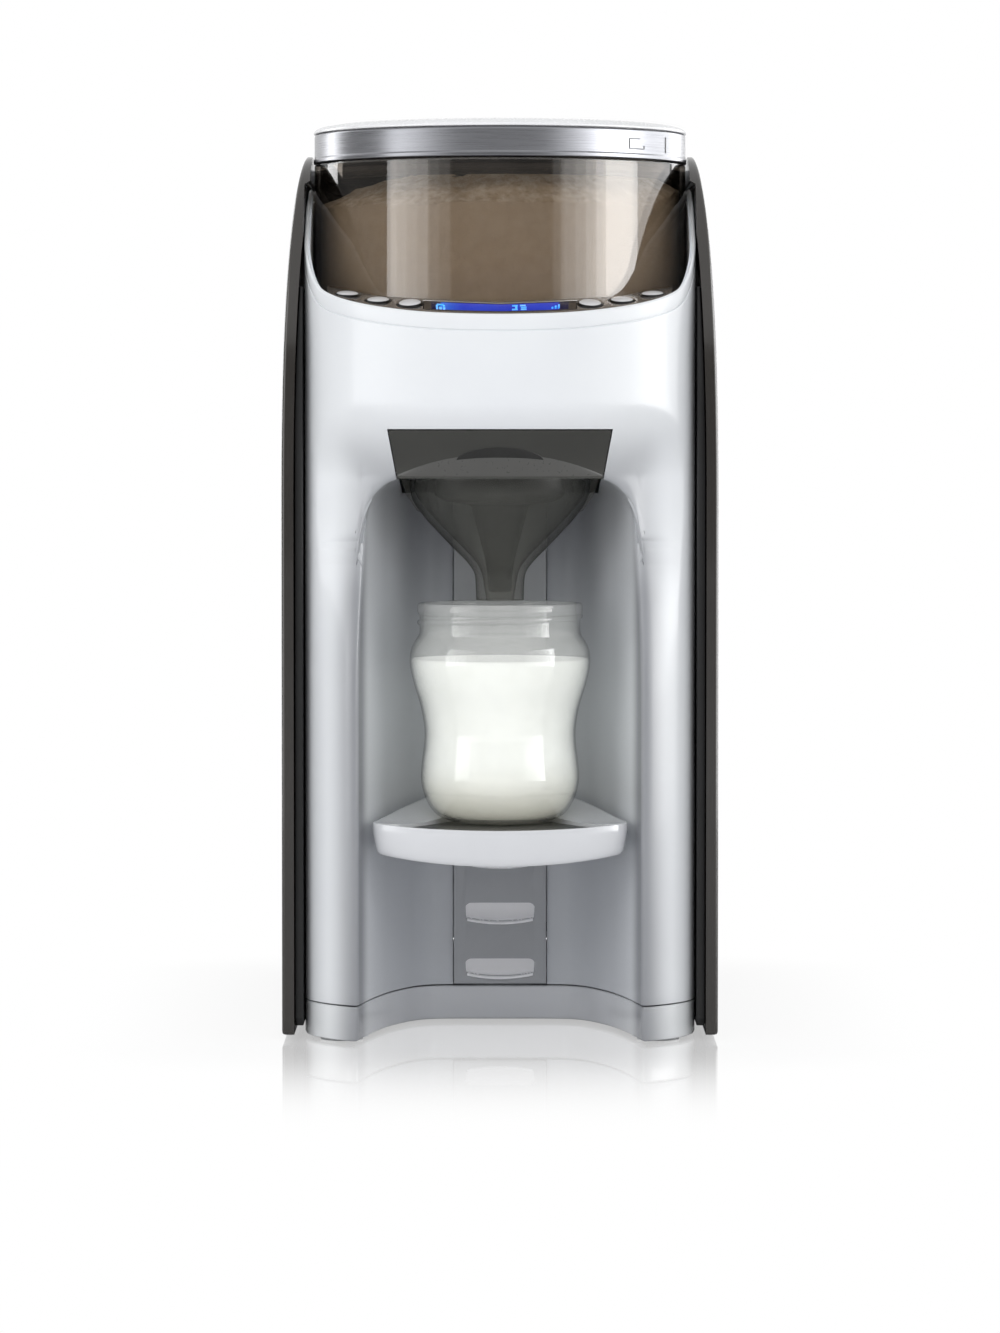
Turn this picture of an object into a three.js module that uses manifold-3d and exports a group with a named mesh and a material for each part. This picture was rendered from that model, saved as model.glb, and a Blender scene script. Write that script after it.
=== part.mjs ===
// Countertop baby formula maker: a white tower with a round powder container on top, a control band in front of
// it, a pull-out mixing funnel over a bottle bay, and a lift-out water tank at the back.
// Millimetres, +Z up, +X to the right seen from the front, front towards -Y. The origin is on the worktop, under
// the middle of the machine. Each mesh of the exported group is one separate piece of the real machine.
import * as THREE from "three";
import { mergeVertices } from "three/addons/utils/BufferGeometryUtils.js";
import Module from "manifold-3d";

const wasm = await Module();
wasm.setup();

// Driving sizes of the whole machine
const overallWidth = 165;
const overallDepth = 290;
const footHeight = 1.2; // clearance under the base
const seamHeight = 14.5; // worktop to the seam between base and body
const deckHeight = 263; // worktop to the deck that carries the powder container
const seatGap = 0.3; // air left between separate pieces
const wall = 2.2; // moulded wall thickness of the casings
const cutOver = 1; // how far a cutter runs past what it cuts

// Side panels and the spacers behind them
const panelThickness = 4.6;
const spacerThickness = 3.1;
const bodyHalf = overallWidth / 2 - panelThickness - spacerThickness - 2 * seatGap;

// Front outline of the body in plan: half an ellipse as wide as the body, noseDepth deep
const noseDepth = 50;
const frontY = -overallDepth / 2;
const rearY = overallDepth / 2;
const splitDepth = 163; // front vertex to the seam between front and rear housing

// Powder container and its place
const containerInset = 2.6; // body's side to the container's wall
const containerRadius = bodyHalf - containerInset;
const containerAxisDepth = 89; // front vertex to the container's axis
const containerAxisY = frontY + containerAxisDepth;
const wellRadius = containerRadius + 2 * seatGap;

// Bottle bay
const bayHalf = 53; // half width of the bay's mouth
const bayBackHalf = 28; // half width of its flat back wall
const bayDepth = 96; // front vertex to the back wall
const bayMouthDepth = 18; // front vertex to where the side walls begin
const bayTop = 212.5; // worktop to the bay's ceiling
const archWidth = 17; // rounded top corners of the mouth
const archHeight = 25;
const bayBackY = frontY + bayDepth;

// Funnel axis, bottle axis and tray centre share one vertical line
const pourDepth = 56; // front vertex to that line
const pourY = frontY + pourDepth;

const material = (color, roughness, metalness = 0, opacity = 1) =>
  new THREE.MeshStandardMaterial({ color, roughness, metalness, opacity, transparent: opacity < 1 });

const whiteGloss = material(0xf2f3f5, 0.25);
const baseWhite = material(0xeceef0, 0.3);
const panelBrown = material(0x2b2826, 0.25);
const blackMatte = material(0x17171a, 0.6);
const bandBlack = material(0x2c2a29, 0.2);
const buttonBlack = material(0x111113, 0.12);
const displayBlue = material(0x1b33d6, 0.15);
const smokeClear = material(0x8a7f74, 0.08, 0, 0.35);
const funnelSmoke = material(0x3a3a3a, 0.12, 0, 0.8);
const silverBand = material(0xb4b5b7, 0.3, 0.4);
const lidWhite = material(0xeef0f1, 0.3);
const greyPlastic = material(0x8d9096, 0.5);
const slotGrey = material(0xb9bcc0, 0.4);
const matGrey = material(0x4c4d50, 0.25);
const bottleClear = material(0xe8eef0, 0.05, 0, 0.3);
const tankClear = material(0x9aa3a8, 0.1, 0, 0.4);
const rubber = material(0xd8d9da, 0.8);
const sealGrey = material(0x9c9fa3, 0.8);
const steel = material(0xb8babd, 0.35, 0.9);
const boardGreen = material(0x1f5a36, 0.6);
const gearIvory = material(0xe9e4d4, 0.5);
const hoseClear = material(0xdadfe2, 0.3);
const heaterGrey = material(0x9fa2a6, 0.4, 0.7);

// The solid of a closed three.js geometry.
function solidOf(geometry) {
  const bare = geometry.index ? geometry.toNonIndexed() : geometry.clone();
  for (const name of Object.keys(bare.attributes)) if (name !== "position") bare.deleteAttribute(name);
  const merged = mergeVertices(bare, 1e-4);
  const vertProperties = merged.attributes.position.array;
  const made = new wasm.Manifold(
    new wasm.Mesh({ numProp: 3, vertProperties, triVerts: new Uint32Array(merged.index.array) }),
  );
  if (made.volume() >= 0) return made;
  const turned = new Uint32Array(merged.index.array);
  for (let i = 0; i < turned.length; i += 3) [turned[i], turned[i + 1]] = [turned[i + 1], turned[i]];
  return new wasm.Manifold(new wasm.Mesh({ numProp: 3, vertProperties, triVerts: turned }));
}

function geometryOf(solid) {
  const mesh = solid.getMesh();
  const positions = new Float32Array(mesh.numVert * 3);
  for (let i = 0; i < mesh.numVert; i++) {
    positions.set(mesh.vertProperties.subarray(i * mesh.numProp, i * mesh.numProp + 3), i * 3);
  }
  const geometry = new THREE.BufferGeometry();
  geometry.setAttribute("position", new THREE.BufferAttribute(positions, 3));
  geometry.setIndex(new THREE.BufferAttribute(mesh.triVerts, 1));
  return geometry;
}

const join = (...solids) => solids.reduce((all, next) => all.add(next));
const cut = (solid, ...tools) => tools.reduce((left, tool) => left.subtract(tool), solid);

// A prism with the outline in plan, from low to high; holes are outlines too.
function prismZ(outline, low, high, holes = []) {
  const shape = new THREE.Shape(outline.map(([x, y]) => new THREE.Vector2(x, y)));
  for (const hole of holes) shape.holes.push(new THREE.Path(hole.map(([x, y]) => new THREE.Vector2(x, y))));
  const geometry = new THREE.ExtrudeGeometry(shape, { depth: high - low, bevelEnabled: false });
  return solidOf(geometry.translate(0, 0, low));
}

// A prism along Y whose outline holds (x, z) points, and one along X whose outline holds (y, z) points.
function prismY(outline, low, high) {
  const shape = new THREE.Shape(outline.map(([x, z]) => new THREE.Vector2(x, z)));
  const geometry = new THREE.ExtrudeGeometry(shape, { depth: high - low, bevelEnabled: false });
  return solidOf(geometry.rotateX(Math.PI / 2).translate(0, high, 0));
}
function prismX(outline, low, high) {
  const shape = new THREE.Shape(outline.map(([y, z]) => new THREE.Vector2(y, z)));
  const geometry = new THREE.ExtrudeGeometry(shape, { depth: high - low, bevelEnabled: false });
  const turn = new THREE.Matrix4().set(0, 0, 1, low, 1, 0, 0, 0, 0, 1, 0, 0, 0, 0, 0, 1);
  return solidOf(geometry.applyMatrix4(turn));
}

const circle = (radius, x, y, steps) =>
  Array.from({ length: steps }, (_, i) => {
    const angle = (2 * Math.PI * i) / steps;
    return [x + radius * Math.cos(angle), y + radius * Math.sin(angle)];
  });
const disc = (radius, low, high, x = 0, y = 0, steps = 32) => prismZ(circle(radius, x, y, steps), low, high);

function box(lowX, highX, lowY, highY, lowZ, highZ) {
  const geometry = new THREE.BoxGeometry(highX - lowX, highY - lowY, highZ - lowZ);
  return solidOf(geometry.translate((lowX + highX) / 2, (lowY + highY) / 2, (lowZ + highZ) / 2));
}

// A rectangle with round corners, as an outline round (x, y).
function roundedRectangle(halfX, halfY, radius, x = 0, y = 0, steps = 4) {
  const points = [];
  for (let corner = 0; corner < 4; corner++) {
    const centreX = x + (corner === 0 || corner === 3 ? 1 : -1) * (halfX - radius);
    const centreY = y + (corner < 2 ? 1 : -1) * (halfY - radius);
    for (let i = 0; i <= steps; i++) {
      const angle = ((corner + i / steps) * Math.PI) / 2;
      points.push([centreX + radius * Math.cos(angle), centreY + radius * Math.sin(angle)]);
    }
  }
  return points;
}

// A turned solid: the profile holds (radius, z) points and closes on itself.
function turned(profile, x, y, steps = 48) {
  const points = [...profile, profile[0]].map(([r, z]) => new THREE.Vector2(Math.max(r, 0), z));
  const geometry = new THREE.LatheGeometry(points, steps);
  return solidOf(geometry.rotateX(Math.PI / 2).scale(1, 1, 1).translate(x, y, 0));
}

const smoothStep = (low, high, value) => {
  const t = Math.min(1, Math.max(0, (value - low) / (high - low)));
  return t * t * (3 - 2 * t);
};
const mix = (a, b, t) => a + (b - a) * t;

// A closed solid through rows of points, each row a ring of the same number of points.
function loft(given) {
  const clockwise = THREE.ShapeUtils.area(given[0].map(([x, y]) => new THREE.Vector2(x, y))) < 0;
  const rows = clockwise ? given.map((row) => [...row].reverse()) : given;
  const count = rows[0].length;
  const positions = [];
  const push = (...points) => points.forEach((point) => positions.push(...point));
  for (let r = 0; r + 1 < rows.length; r++) {
    for (let i = 0; i < count; i++) {
      const j = (i + 1) % count;
      push(rows[r][i], rows[r][j], rows[r + 1][j]);
      push(rows[r][i], rows[r + 1][j], rows[r + 1][i]);
    }
  }
  for (const [row, flip] of [[rows[0], true], [rows[rows.length - 1], false]]) {
    const flat = row.map(([x, y]) => new THREE.Vector2(x, y));
    for (const [a, b, c] of THREE.ShapeUtils.triangulateShape(flat, [])) {
      if (flip) push(row[a], row[c], row[b]);
      else push(row[a], row[b], row[c]);
    }
  }
  const geometry = new THREE.BufferGeometry();
  geometry.setAttribute("position", new THREE.Float32BufferAttribute(positions, 3));
  return solidOf(geometry);
}

// A value read off a list of [place, value] pairs.
function along(table, place) {
  if (place <= table[0][0]) return table[0][1];
  for (let i = 1; i < table.length; i++) {
    const [low, lowValue] = table[i - 1];
    const [high, highValue] = table[i];
    if (place <= high) return mix(lowValue, highValue, (place - low) / (high - low));
  }
  return table[table.length - 1][1];
}

const group = new THREE.Group();
function piece(name, solid, look) {
  const mesh = new THREE.Mesh(geometryOf(solid), look.clone());
  mesh.name = name;
  group.add(mesh);
}

// Scoop: a soft hollow in the front face round the upper half of the bay
const scoopDepth = 16;
const scoopReach = 29;
const scoopLow = 130; // the hollow starts here on the columns and is full at scoopFull
const scoopFull = 205;

function scoopAt(x, z) {
  const side = Math.max(0, Math.abs(x) - bayHalf);
  const above = Math.max(0, z - bayTop);
  const reach = smoothStep(0, scoopReach, Math.hypot(side, above));
  return scoopDepth * smoothStep(scoopLow, scoopFull, z) * (1 - reach);
}

// Plan outline of the body, inset evenly, from the right rear round the nose to the left rear.
const noseSteps = 32;
function bodyRing(inset, z, back) {
  const half = bodyHalf - inset;
  const deep = noseDepth - inset;
  const ring = [[half, back, z]];
  for (let i = 0; i <= noseSteps; i++) {
    const angle = (Math.PI * i) / noseSteps;
    const x = half * Math.cos(angle);
    const share = Math.sin(angle);
    const y = frontY + noseDepth - deep * share + scoopAt(x, z) * smoothStep(0, 0.5, share);
    ring.push([x, y, z]);
  }
  ring.push([-half, back, z]);
  return ring;
}

const bodyLevels = [0, 130, 146, 162, 176, 190, 202, 212.5, 217, 222, 227, 232, 237, 241.5, 330];
function bodySolid(inset, low, high, back) {
  const levels = [low, ...bodyLevels.filter((z) => z > low && z < high), high];
  return loft(levels.map((z) => bodyRing(inset, z, back)));
}

// Side view of the body's top edge, as [depth from the front vertex, height over the deck]
const topEdgeRises = [
  [0, 10.8], [3.4, 11.6], [8.6, 13.2], [15.9, 15.5], [23, 18], [28.2, 20.2], [32, 22.6], [36, 26.2],
  [41, 31.6], [47, 37.8], [54, 43.8], [63, 49.8], [74, 55.4], [89, 60.2], [105, 61.5],
];
const topEdge = topEdgeRises.map(([depth, rise]) => [depth, deckHeight + rise]);
const cheekTop = topEdge[topEdge.length - 1][1];
const splitY = frontY + splitDepth;
const topCutter = prismX(
  [
    [frontY - cutOver, topEdge[0][1]],
    ...topEdge.map(([depth, z]) => [frontY + depth, z]),
    [rearY, cheekTop],
    [rearY, cheekTop + overallDepth],
    [frontY - cutOver, cheekTop + overallDepth],
  ],
  -overallWidth,
  overallWidth,
);

// Bay: plan of its side walls as [half width, depth from the front vertex]
const bayPlan = [
  [53, 18], [50, 36], [48, 46], [45.4, 57], [42, 69], [37.6, 80], [33.6, 88.5], [30.6, 93.5], [28, 96],
];
function bayOutline(grow, reach) {
  const right = bayPlan.map(([x, depth]) => [x + grow, frontY + depth + (depth > bayDepth - wall ? grow : 0)]);
  right[0] = [bayHalf + grow, frontY - reach];
  right.splice(1, 0, [bayHalf + grow, frontY + bayMouthDepth]);
  const left = right.map(([x, y]) => [-x, y]).reverse();
  return [...right, ...left];
}
const archSteps = 8;
function archOutline(low, grow) {
  const points = [[bayHalf + grow, low]];
  for (let i = 0; i <= archSteps; i++) {
    const angle = ((Math.PI / 2) * i) / archSteps;
    const x = bayHalf - archWidth + (archWidth + grow) * Math.cos(angle);
    points.push([x, bayTop - archHeight + (archHeight + grow) * Math.sin(angle)]);
  }
  return [...points, ...points.map(([x, z]) => [-x, z]).reverse()];
}
function baySolid(grow, low) {
  const plan = prismZ(bayOutline(grow, scoopDepth), low, bayTop + grow + cutOver);
  return plan.intersect(prismY(archOutline(low, grow), frontY - scoopDepth, rearY));
}

// Funnel slot through the hood, wider at the top, and through the bay's ceiling
const funnelTop = 230.7;
const funnelTopHalf = 41.7;
const funnelLowHalf = 38.5;
const funnelBackY = pourY + 40;
const slotClear = 0.4; // air round the funnel in its slot
const funnelFlange = 4; // flange that runs on the rails, past the box at each side
const flangeThickness = 2.4;

function slotOutline(grow) {
  const slope = (funnelTopHalf - funnelLowHalf) / (funnelTop - bayTop);
  const low = bayTop - wall - cutOver;
  const lowHalf = funnelLowHalf - slope * (bayTop - low);
  return [
    [-lowHalf - grow, low],
    [lowHalf + grow, low],
    [funnelTopHalf + grow, funnelTop + grow],
    [-funnelTopHalf - grow, funnelTop + grow],
  ];
}

// Strip in the bay's back wall that carries the slots for the tray
const stripHalf = 18;
const stripLow = 15.2;
const stripTop = 205;

// Front housing: shell of the nose and cheeks with the bay let into it
const shellLow = seamHeight + seatGap;
const archLow = shellLow - cutOver;
const outerShell = bodySolid(0, shellLow, cheekTop + cutOver, splitY - seatGap);
const innerShell = bodySolid(wall, archLow, cheekTop + 2 * cutOver, rearY);
const bayHole = baySolid(0, archLow);
const bayCore = baySolid(wall, archLow - cutOver);
const funnelSlot = prismY(slotOutline(slotClear), frontY - cutOver, funnelBackY + slotClear);
const screwSpotsFront = [[62, -72], [-62, -72]];
const screwSpotsRear = [[64, 112], [-64, 112]];
const bossRadius = 4.2;
const bossHeight = 16;
const pilotRadius = 1.7;
const screwBoss = ([x, y]) =>
  cut(
    disc(bossRadius, shellLow, shellLow + bossHeight, x, y, 14).add(
      box(Math.min(x, Math.sign(x) * (bodyHalf - wall / 2)), Math.max(x, Math.sign(x) * (bodyHalf - wall / 2)),
        y - wall / 2, y + wall / 2, shellLow, shellLow + bossHeight),
    ),
    disc(pilotRadius, archLow, shellLow + bossHeight - wall, x, y, 10),
  );
let frontHousing = outerShell.subtract(innerShell.subtract(bayCore)).subtract(bayHole);
frontHousing = cut(
  frontHousing,
  topCutter,
  funnelSlot,
  box(
    -stripHalf - seatGap, stripHalf + seatGap, bayBackY - cutOver, bayBackY + wall + cutOver,
    archLow, stripTop + seatGap,
  ),
);

// Posts on the back of the bay's wall that carry the main board
const boardPostRadius = 3;
const boardPostLength = 4;
const boardPostX = 23.4;
const boardPostZ = [88, 138];
const boardPosts = [-1, 1].flatMap((side) => boardPostZ.map((z) =>
  disc(boardPostRadius, 0, boardPostLength, 0, 0, 12)
    .rotate([90, 0, 0])
    .translate([side * boardPostX, bayBackY + wall / 2 + boardPostLength, z])));
frontHousing = join(frontHousing, ...screwSpotsFront.map(screwBoss), ...boardPosts);
piece("front_housing", frontHousing, whiteGloss);

// Rear housing: side walls, bulkhead and shelf of the tank bay, and the low back wall
const bulkheadY = 62; // front face of the wall ahead of the water tank
const shelfTop = 96.5; // worktop to the shelf the tank stands on
const rearCorner = 20;
const plateY = rearY - wall;
const sideWallEnd = 136; // where the side walls beside the tank stop
function rearRing(inset) {
  const half = bodyHalf - inset;
  const radius = rearCorner - inset;
  const points = [[half, splitY], [-half, splitY]];
  const back = rearY - inset;
  for (let i = 0; i <= 6; i++) {
    const angle = ((Math.PI / 2) * i) / 6;
    points.push([-half + radius - radius * Math.cos(angle), back - radius + radius * Math.sin(angle)]);
  }
  for (let i = 6; i >= 0; i--) {
    const angle = ((Math.PI / 2) * i) / 6;
    points.push([half - radius + radius * Math.cos(angle), back - radius + radius * Math.sin(angle)]);
  }
  return points;
}
const sideWalls = [-1, 1].map((side) =>
  box(
    Math.min(side * bodyHalf, side * (bodyHalf - wall)), Math.max(side * bodyHalf, side * (bodyHalf - wall)),
    splitY, rearY - rearCorner, shellLow, cheekTop,
  ),
);
const lowShell = prismZ(rearRing(0), shellLow, shelfTop).subtract(prismZ(rearRing(wall), archLow, shelfTop - wall));
const socketHole = 11; // radius of the hole for the tank's socket
const socketY = 104;
const inletHalfWide = 14;
const inletHalfHigh = 10.2;
const inletZ = 44;
const bulkhead = box(-bodyHalf + wall / 2, bodyHalf - wall / 2, bulkheadY - wall, bulkheadY, shelfTop - wall, cheekTop);
const frontRelief = box(
  -bodyHalf + wall, bodyHalf - wall, splitY - cutOver, bulkheadY - wall, archLow, shelfTop + cutOver,
);
let rearHousing = join(lowShell, ...sideWalls, bulkhead);
rearHousing = cut(
  rearHousing,
  frontRelief,
  disc(socketHole, shelfTop - 2 * wall, shelfTop + cutOver, 0, socketY, 32),
  box(-inletHalfWide, inletHalfWide, plateY - cutOver, rearY + cutOver, inletZ - inletHalfHigh, inletZ + inletHalfHigh),
);
rearHousing = join(rearHousing, ...screwSpotsRear.map(screwBoss));
piece("rear_housing", rearHousing, whiteGloss);

// Base: a shallow tray turned over, with pads for the feet and holes for the screws
const baseTop = seamHeight - seatGap;
const basePlate = 2.5;
const baseWall = 2.6;
function baseOutline(inset) {
  const ring = bodyRing(inset, 0, frontY + noseDepth).map(([x, y]) => [x, y]);
  const rear = rearRing(inset).slice(2);
  return [...ring, ...rear];
}
const footRadius = 8;
const footRecess = 1.4;
const studRadius = 3;
const footSpots = [[60, -107], [-60, -107], [58, 121], [-58, 121]];
const screwHead = 3.2;
const screwHeadHeight = 2.2;
const padRadius = 10;
const fitGap = 0.35; // play of a loose fit, on the radius
const screwSpots = [...screwSpotsFront, ...screwSpotsRear];
const headSeat = footHeight + 5;
const baseCore = prismZ(baseOutline(baseWall), footHeight - cutOver, baseTop - basePlate)
  .subtract(baySolid(baseWall, footHeight - 2 * cutOver));
let basePan = prismZ(baseOutline(0), footHeight, baseTop).subtract(baseCore);
basePan = join(
  basePan,
  ...footSpots.map(([x, y]) => disc(padRadius, footHeight, baseTop - basePlate / 2, x, y, 20)),
  ...screwSpots.map(([x, y]) => disc(bossRadius + 1.3, footHeight, baseTop - basePlate / 2, x, y, 16)),
);
basePan = cut(
  basePan,
  baySolid(0, footHeight - cutOver),
  ...footSpots.map(([x, y]) => disc(footRadius + fitGap, 0, footHeight + footRecess, x, y, 20)),
  ...footSpots.map(([x, y]) => disc(studRadius + fitGap / 2, 0, footHeight + 7, x, y, 12)),
  ...screwSpots.map(([x, y]) => disc(screwHead + fitGap, 0, headSeat, x, y, 12)),
  ...screwSpots.map(([x, y]) => disc(pilotRadius, 0, seamHeight + cutOver, x, y, 10)),
);
piece("base_pan", basePan, baseWhite);
footSpots.forEach(([x, y], i) => {
  const foot = disc(footRadius, 0, footHeight + footRecess - seatGap, x, y, 20)
    .add(disc(studRadius, 0, footHeight + 5.5, x, y, 12));
  piece(`foot_${i + 1}`, foot, rubber);
});
screwSpots.forEach(([x, y], i) => {
  const shank = disc(pilotRadius - fitGap, headSeat - screwHeadHeight, shellLow + 10, x, y, 10);
  const head = disc(screwHead, headSeat - screwHeadHeight - seatGap, headSeat - seatGap, x, y, 12);
  const driver = box(x - 0.5, x + 0.5, y - screwHead / 2, y + screwHead / 2, 0, headSeat - screwHeadHeight + 0.6);
  piece(`base_screw_${i + 1}`, cut(head.add(shank), driver), steel);
});

// Side panels and spacers: a bowed section along Y trimmed to the panel's side view
const panelRise = 11.5; // cheek to the panel's top
const panelTop = cheekTop + panelRise;
const bowRun = 133; // height over which the panel bows in
const bowStart = panelTop - bowRun;
const bowHeight = 134; // upright half axis of the bow
const bowIn = 9.6;
const lipGap = 0.9; // cheek to the underside of the panel's lip
const lipLow = cheekTop + lipGap;
const lipInset = 1.8; // body's side to the lip's edge
const lipHalf = bodyHalf - lipInset;
const panelLow = 2;
const panelSteps = 14;
const spacerDrop = 39.5; // cheek down to the spacer's top
const spacerTop = cheekTop - spacerDrop;
const spacerInset = 3;
const panelInner = bodyHalf + seatGap;
const bowX = (z) => {
  const rise = Math.max(0, z - bowStart) / bowHeight;
  return overallWidth / 2 - bowIn + bowIn * Math.sqrt(1 - rise * rise);
};
const panelFace = (z) => Math.max(panelInner, bowX(z) - panelThickness);
function bowHeights(low, high) {
  const heights = [low];
  for (let i = 0; i <= panelSteps; i++) {
    heights.push(bowStart + (high - bowStart) * Math.sin(((Math.PI / 2) * i) / panelSteps));
  }
  return heights;
}

// Side view of the panel, inset evenly
const panelFront = -113;
const panelBack = 140;
const panelSweep = [57, 86]; // run and rise of the sweep at the front
const panelTail = [28, 40];
const panelCorner = 3;
function panelView(inset) {
  const front = panelFront + inset;
  const back = panelBack - inset;
  const low = panelLow + inset;
  const top = panelTop - inset;
  const points = [[front + panelCorner, low], [front, low + panelCorner]];
  for (let i = 0; i <= 12; i++) {
    const angle = ((Math.PI / 2) * i) / 12;
    points.push([
      front + panelSweep[0] * (1 - Math.cos(angle)),
      top - panelSweep[1] + panelSweep[1] * Math.sin(angle),
    ]);
  }
  for (let i = 8; i >= 0; i--) {
    const angle = ((Math.PI / 2) * i) / 8;
    points.push([
      back - panelTail[0] * (1 - Math.cos(angle)),
      top - panelTail[1] + panelTail[1] * Math.sin(angle),
    ]);
  }
  points.push([back, low + panelCorner], [back - panelCorner, low]);
  return points;
}
const sidePart = (side, outline, inset) =>
  prismY(outline.map(([x, z]) => [side * x, z]), frontY, rearY)
    .intersect(prismX(panelView(inset), -overallWidth, overallWidth));
for (const [side, word] of [[-1, "left"], [1, "right"]]) {
  const outer = bowHeights(0, panelTop);
  const inner = bowHeights(0, lipLow);
  const panel = [
    ...outer.map((z) => [bowX(z), z]),
    [lipHalf, panelTop],
    [lipHalf, lipLow],
    ...inner.map((z) => [panelFace(z), z]).reverse(),
  ];
  piece(`side_panel_${word}`, sidePart(side, panel, 0), panelBrown);
  const packing = bowHeights(0, spacerTop);
  const spacer = [
    ...packing.map((z) => [panelFace(z) - seatGap, z]),
    [panelInner, spacerTop],
    [panelInner, 0],
  ];
  piece(`side_spacer_${word}`, sidePart(side, spacer, spacerInset), blackMatte);
}

// Deck of the container well: a plate under the container, with a wall round its rear half
const deckPlate = 3;
const deckClear = 0.4;
const wellWall = 1.8;
const wellHeight = 60;
const wellTop = deckHeight + wellHeight;
const wellInset = 4; // body's side to the end of the well's rear wall
const wellHalf = bodyHalf - wellInset;
const spindleHole = 7; // radius of the hole for the drive dog
const outletY = pourY;
const chuteRadius = 9;
const innerPlan = (grow) => bodySolid(wall + grow, deckHeight - deckPlate, deckHeight, splitY - wall);
const deckPlan = innerPlan(deckClear);
const wellRing = turned(
  [[wellRadius, deckHeight - deckPlate], [wellRadius + wellWall, deckHeight - deckPlate],
    [wellRadius + wellWall, wellTop], [wellRadius, wellTop]],
  0, containerAxisY, 52,
).intersect(box(-wellHalf, wellHalf, containerAxisY, rearY, deckHeight - deckPlate, wellTop));
const seatInset = 5.1; // container's wall to the ring it is centred by
const seatWidth = 2.5;
const seatRise = 1.2;
const seatOuter = containerRadius - seatInset;
const seatInner = seatOuter - seatWidth;
const seatRing = turned(
  [[seatInner, deckHeight - deckPlate], [seatOuter, deckHeight - deckPlate], [seatOuter, deckHeight + seatRise],
    [seatInner, deckHeight + seatRise]],
  0, containerAxisY, 40,
);
const deck = cut(
  join(deckPlan, wellRing, seatRing),
  disc(spindleHole, deckHeight - 2 * deckPlate, deckHeight + cutOver, 0, containerAxisY, 24),
  disc(chuteRadius + fitGap, deckHeight - 2 * deckPlate, deckHeight + cutOver, 0, outletY, 24),
);
piece("container_deck", deck, blackMatte);

// Top cover behind the container
const coverHeight = 8.5; // cheek to the cover's top
const coverTop = cheekTop + coverHeight;
const coverLow = cheekTop + seatGap;
const coverFront = -14;
const coverHalf = lipHalf - seatGap;
const topCover = cut(
  box(-coverHalf, coverHalf, coverFront, bulkheadY, coverLow, coverTop),
  box(-coverHalf + wall, coverHalf - wall, coverFront - cutOver, bulkheadY - wall, coverLow - cutOver, coverTop - wall),
  disc(wellRadius + 0.6, coverLow - cutOver, coverTop + cutOver, 0, containerAxisY, 72),
);
piece("top_cover", topCover, whiteGloss);

// Control band: a ruled strip between the body's top edge and the rim of the well
const bandThickness = 3.4;
const bandSteps = 26;
const bandInset = 9.7; // body's side to the band's end at its outer edge
const bandSpan = bodyHalf - bandInset;
const bandInnerRises = [[0, 15.7], [41.6, 17.9], [54.2, 20.2], [63.7, 21.9], [67, 23.5]]; // [half width, height over the deck]
const bandInner = bandInnerRises.map(([x, rise]) => [x, deckHeight + rise]);
const bandInnerInset = 6.2; // well to the band's end at its inner edge
const bandInnerSpan = wellRadius - bandInnerInset;
function bandStation(t, drop) {
  const outerX = bandSpan * t;
  const half = bodyHalf - wall - seatGap;
  const deep = noseDepth - wall - seatGap;
  const outerY = frontY + noseDepth - deep * Math.sqrt(1 - (outerX / half) ** 2);
  const outerZ = along(topEdge, outerY - frontY - wall) - 0.2;
  const innerX = bandInnerSpan * t;
  const innerY = containerAxisY - Math.sqrt(wellRadius ** 2 - innerX ** 2);
  return [
    [outerX, outerY, outerZ - drop],
    [innerX, innerY, along(bandInner, Math.abs(innerX)) - drop],
  ];
}
const bandPoint = (t, across, drop = 0) => {
  const [outer, inner] = bandStation(t, drop);
  return outer.map((value, i) => mix(value, inner[i], across));
};
// A strip of the band between two shares of its half width, with its thickness under the surface.
function bandStrip(from, to, outside, inside, top, bottom, steps) {
  const rows = [];
  for (let i = 0; i <= steps; i++) {
    const t = mix(from, to, i / steps);
    rows.push([
      bandPoint(t, outside, bottom), bandPoint(t, inside, bottom), bandPoint(t, inside, top), bandPoint(t, outside, top),
    ]);
  }
  const positions = [];
  const quad = (a, b, c, d) => positions.push(...a, ...b, ...c, ...a, ...c, ...d);
  for (let i = 0; i < steps; i++) {
    for (let k = 0; k < 4; k++) {
      const n = (k + 1) % 4;
      quad(rows[i][k], rows[i][n], rows[i + 1][n], rows[i + 1][k]);
    }
  }
  const [first, last] = [rows[0], rows[steps]];
  quad(first[3], first[2], first[1], first[0]);
  quad(last[0], last[1], last[2], last[3]);
  const geometry = new THREE.BufferGeometry();
  geometry.setAttribute("position", new THREE.Float32BufferAttribute(positions, 3));
  return solidOf(geometry);
}
const displayHalf = 28.5;
const displayShare = displayHalf / bandSpan;
const displayEdge = [0.16, 0.86];
const displayRecess = 1.4;

// Push buttons: each is a disc on the band's slope, at a share of the band's half width
const buttonShares = [0.515, 0.70, 0.88];
const buttonRadius = 5;
const buttonProud = 0.5;
const buttonStem = 1.6;
const buttonTravel = 0.8;
const buttonPlaces = [...buttonShares.map((share) => -share).reverse(), ...buttonShares].map((share) => {
  const centre = new THREE.Vector3(...bandPoint(share, 0.5));
  const acrossWay = new THREE.Vector3(...bandPoint(share, 1)).sub(new THREE.Vector3(...bandPoint(share, 0)));
  const alongWay = new THREE.Vector3(...bandPoint(share + 0.02, 0.5)).sub(new THREE.Vector3(...bandPoint(share - 0.02, 0.5)));
  const normal = alongWay.cross(acrossWay).normalize();
  if (normal.z < 0) normal.negate();
  return { centre, normal };
});
function placed(solidAtOrigin, { centre, normal }) {
  const turn = new THREE.Quaternion().setFromUnitVectors(new THREE.Vector3(0, 0, 1), normal);
  const matrix = new THREE.Matrix4().makeRotationFromQuaternion(turn).setPosition(centre);
  return solidAtOrigin.transform(matrix.elements);
}
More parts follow.
